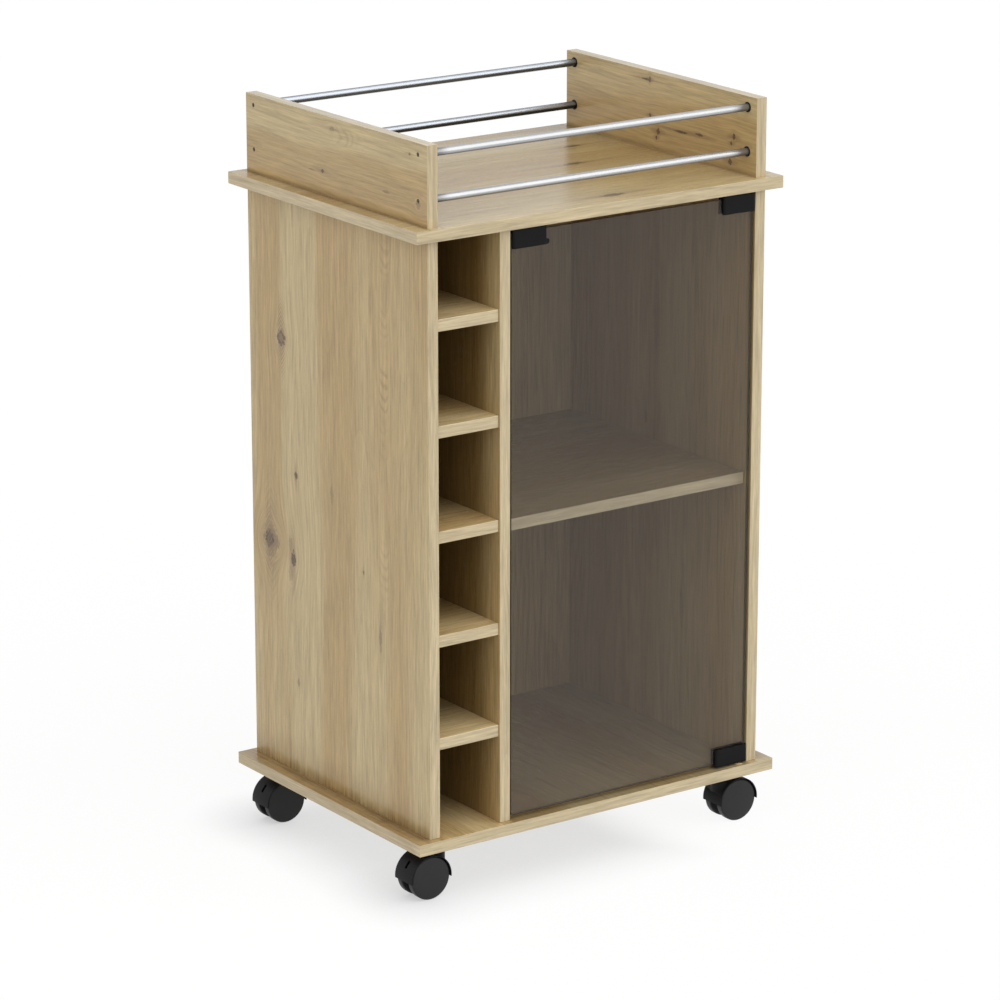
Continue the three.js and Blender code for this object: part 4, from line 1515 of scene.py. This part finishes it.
class AddCasters(bpy.types.Operator):
    """Adds the four casters: plates, screws, hoods, axles and wheels"""

    bl_idname = "bar_cart.add_casters"
    bl_label = "Casters"

    def execute(self, context):
        look = context.scene.bar_cart
        size = caster_numbers()
        hood = hood_mesh(size, look.casters.steps)
        wheel = wheel_mesh(size, look.casters.steps)
        for name in CASTERS:
            swivel = centre_of(f"{name}_plate")
            turn = math.pi if name.endswith("right") else 0.0
            place = Matrix.Translation((swivel.x, swivel.y, 0)) @ Matrix.Rotation(turn, 4, "Z")
            cover = new_piece(f"{name}_hood", hood.copy())
            cover.data.transform(place)
            finish = finish_for("black_plastic", look)
            dress(cover, finish, name, "black_plastic", f"{name}_housing")
            self.add_axle(name, look)
            for facing, side in (("front", 1), ("back", -1)):
                node = f"{name}_wheel_{facing}"
                roller = new_piece(f"{node}_moulded", wheel.copy())
                tilt = Matrix.Rotation(side * QUARTER_TURN, 4, "X")
                roller.data.transform(Matrix.Translation(centre_of(f"{name}_axle")) @ tilt)
                dress(roller, finish_for("wheel_plastic", look), node, "black_plastic", node)
        bpy.data.meshes.remove(hood)
        bpy.data.meshes.remove(wheel)
        self.add_plates(size["plate_half"], look)
        return {"FINISHED"}

    def add_axle(self, name, look):
        node = f"{name}_axle"
        radius, half = rod_size(node, Y)
        outline = rod_profile(radius, -half, half, 0.4 * MM, 0.4 * MM, 3)
        axle = turned_mesh("axle", outline, 32)
        axle.transform(Matrix.Translation(centre_of(node)) @ Matrix.Rotation(QUARTER_TURN, 4, "X"))
        dress(new_piece(f"{node}_steel", axle), finish_for("steel", look), name, "steel", node)

    def add_plates(self, half, look):
        """Four plates with their kingpins, and four screws in each plate."""
        reach = half - 5 * MM
        places = []
        for name in CASTERS:
            plate = make_fitting(f"{name}_plate", "steel", 0.3 * MM, look, steps=2)
            x, y, _ = centre_of(f"{name}_plate")
            rim = min(v.co.z for v in plate.data.vertices if v.co.x > x + half * 0.9)
            for across in (-reach, reach):
                for along in (-reach, reach):
                    spot = (x + across, y + along, rim - 0.15 * MM)
                    places.append((spot, (math.pi, 0, 0)))
        screw = screw_mesh("plate screw", 3.4 * MM, 1.6 * MM, 12 * MM, 1.6 * MM)
        name, kind = "caster_screws_black", "black_metal"
        add_copies(name, screw, places, kind, look, "cabinet", kind)


# ---------------------------------------------------------------- stage

WHITE = (1.0, 1.0, 1.0, 1.0)
LAMP_SPREAD = math.radians(80)
SHADOW_LEAN = (0.45, -0.10, 0.85)
SHADOW_FADE = (-0.05, 0.17)


class AddStage(bpy.types.Operator):
    """Adds the floor, the even sky, the lamps and the camera"""

    bl_idname = "bar_cart.add_stage"
    bl_label = "Stage"

    def execute(self, context):
        look = context.scene.bar_cart.stage
        self.add_floor(look)
        self.set_sky(context.scene, look)
        self.add_lamp("key", look.key, (60, 0, 20))
        self.add_lamp("fill", look.fill, (65, 0, -80))
        self.add_camera(context.scene, look)
        context.scene.view_settings.view_transform = "Standard"
        return {"FINISHED"}

    def add_floor(self, look):
        """Where it is seen the floor glows, less so close under the left side of the cart, as a painted
        shadow.
        """
        bm = bmesh.new()
        bmesh.ops.create_circle(bm, cap_ends=True, segments=96, radius=look.floor_radius)
        floor = new_piece("studio_floor", mesh_from("studio_floor", bm))
        material, make = new_material("studio_floor")
        plain = make.add("ShaderNodeBsdfDiffuse", None, {"Color": rgba(look.floor)})
        shown = make.add("ShaderNodeBsdfDiffuse", None, {"Color": rgba(look.floor_seen)})
        # Painted shadow: the glow dims where ambient occlusion finds the cart near, and it comes back
        # towards +X.
        inputs = {"Distance": look.shadow_reach, "Normal": make.point(*SHADOW_LEAN)}
        open_sky = make.add("ShaderNodeAmbientOcclusion", {"samples": 12}, inputs, "AO")
        x = make.split(make.place())[X]
        open_sky = open_sky.at_least(x.ramp(*SHADOW_FADE))
        light = make.blend(open_sky, rgba(look.shadow), WHITE)
        glow = make.add("ShaderNodeEmission", None, {"Color": light, "Strength": look.floor_glow})
        shown = make.add("ShaderNodeAddShader", None, {"Shader": shown, "Shader_001": glow})
        both = make.background_mix(plain, shown)
        make.add("ShaderNodeOutputMaterial", None, {"Surface": both})
        floor.data.materials.append(material)

    def set_sky(self, scene, look):
        world = bpy.data.worlds.new("studio_sky")
        scene.world = world
        world.use_nodes = True
        world.node_tree.nodes.clear()
        make = Maker(world.node_tree)
        even = make.add("ShaderNodeBackground", None, {"Strength": look.sky})
        white = make.add("ShaderNodeBackground", None, {"Color": WHITE})
        make.add("ShaderNodeOutputWorld", None, {"Surface": make.background_mix(even, white)})

    def add_lamp(self, name, strength, angles):
        data = bpy.data.lights.new(f"{name}_lamp", "SUN")
        data.energy = strength
        data.angle = LAMP_SPREAD
        lamp = bpy.data.objects.new(f"{name}_lamp", data)
        lamp.rotation_euler = Euler([math.radians(a) for a in angles])
        bpy.context.scene.collection.objects.link(lamp)

    def add_camera(self, scene, look):
        data = bpy.data.cameras.new("camera")
        data.lens = look.lens
        data.clip_end = 60
        camera = bpy.data.objects.new("camera", data)
        back = Vector((
            math.sin(look.azimuth) * math.cos(look.elevation),
            -math.cos(look.azimuth) * math.cos(look.elevation),
            math.sin(look.elevation),
        ))
        camera.location = Vector(look.target) + back * look.distance
        camera.rotation_euler = Euler((math.pi / 2 - look.elevation, 0, look.azimuth))
        scene.collection.objects.link(camera)
        scene.camera = camera


# ---------------------------------------------------------------- add-on

class BarCartPanel(bpy.types.Panel):
    """Lists the operators and the settings of the bar cart"""

    bl_idname = "VIEW3D_PT_bar_cart"
    bl_label = "Bar cart"
    bl_space_type = "VIEW_3D"
    bl_region_type = "UI"
    bl_category = "Bar cart"

    def draw(self, context):
        layout = self.layout
        for step in STEPS:
            layout.operator(step.bl_idname)
        settings = context.scene.bar_cart
        for part in ("boards", "glass", "metal", "casters", "stage"):
            box = layout.box()
            box.label(text=part.capitalize())
            group = getattr(settings, part)
            for name in group.bl_rna.properties.keys():
                if name not in ("rna_type", "name"):
                    box.prop(group, name)


STEPS = (
    AddDecks,
    AddCarcass,
    AddShelves,
    AddGallery,
    AddGlassDoor,
    AddDoorFittings,
    AddCasters,
    AddStage,
)
GROUPS = (BoardSettings, GlassSettings, MetalSettings, CasterSettings, StageSettings, CartSettings)


def register():
    for cls in GROUPS + STEPS + (BarCartPanel,):
        bpy.utils.register_class(cls)
    bpy.types.Scene.bar_cart = PointerProperty(type=CartSettings)


def unregister():
    del bpy.types.Scene.bar_cart
    for cls in reversed(GROUPS + STEPS + (BarCartPanel,)):
        bpy.utils.unregister_class(cls)


def main():
    register()
    bpy.ops.bar_cart.add_decks()
    bpy.ops.bar_cart.add_carcass()
    bpy.ops.bar_cart.add_shelves()
    bpy.ops.bar_cart.add_gallery()
    bpy.ops.bar_cart.add_glass_door()
    bpy.ops.bar_cart.add_door_fittings()
    bpy.ops.bar_cart.add_casters()
    bpy.ops.bar_cart.add_stage()


if __name__ == "__main__":
    main()
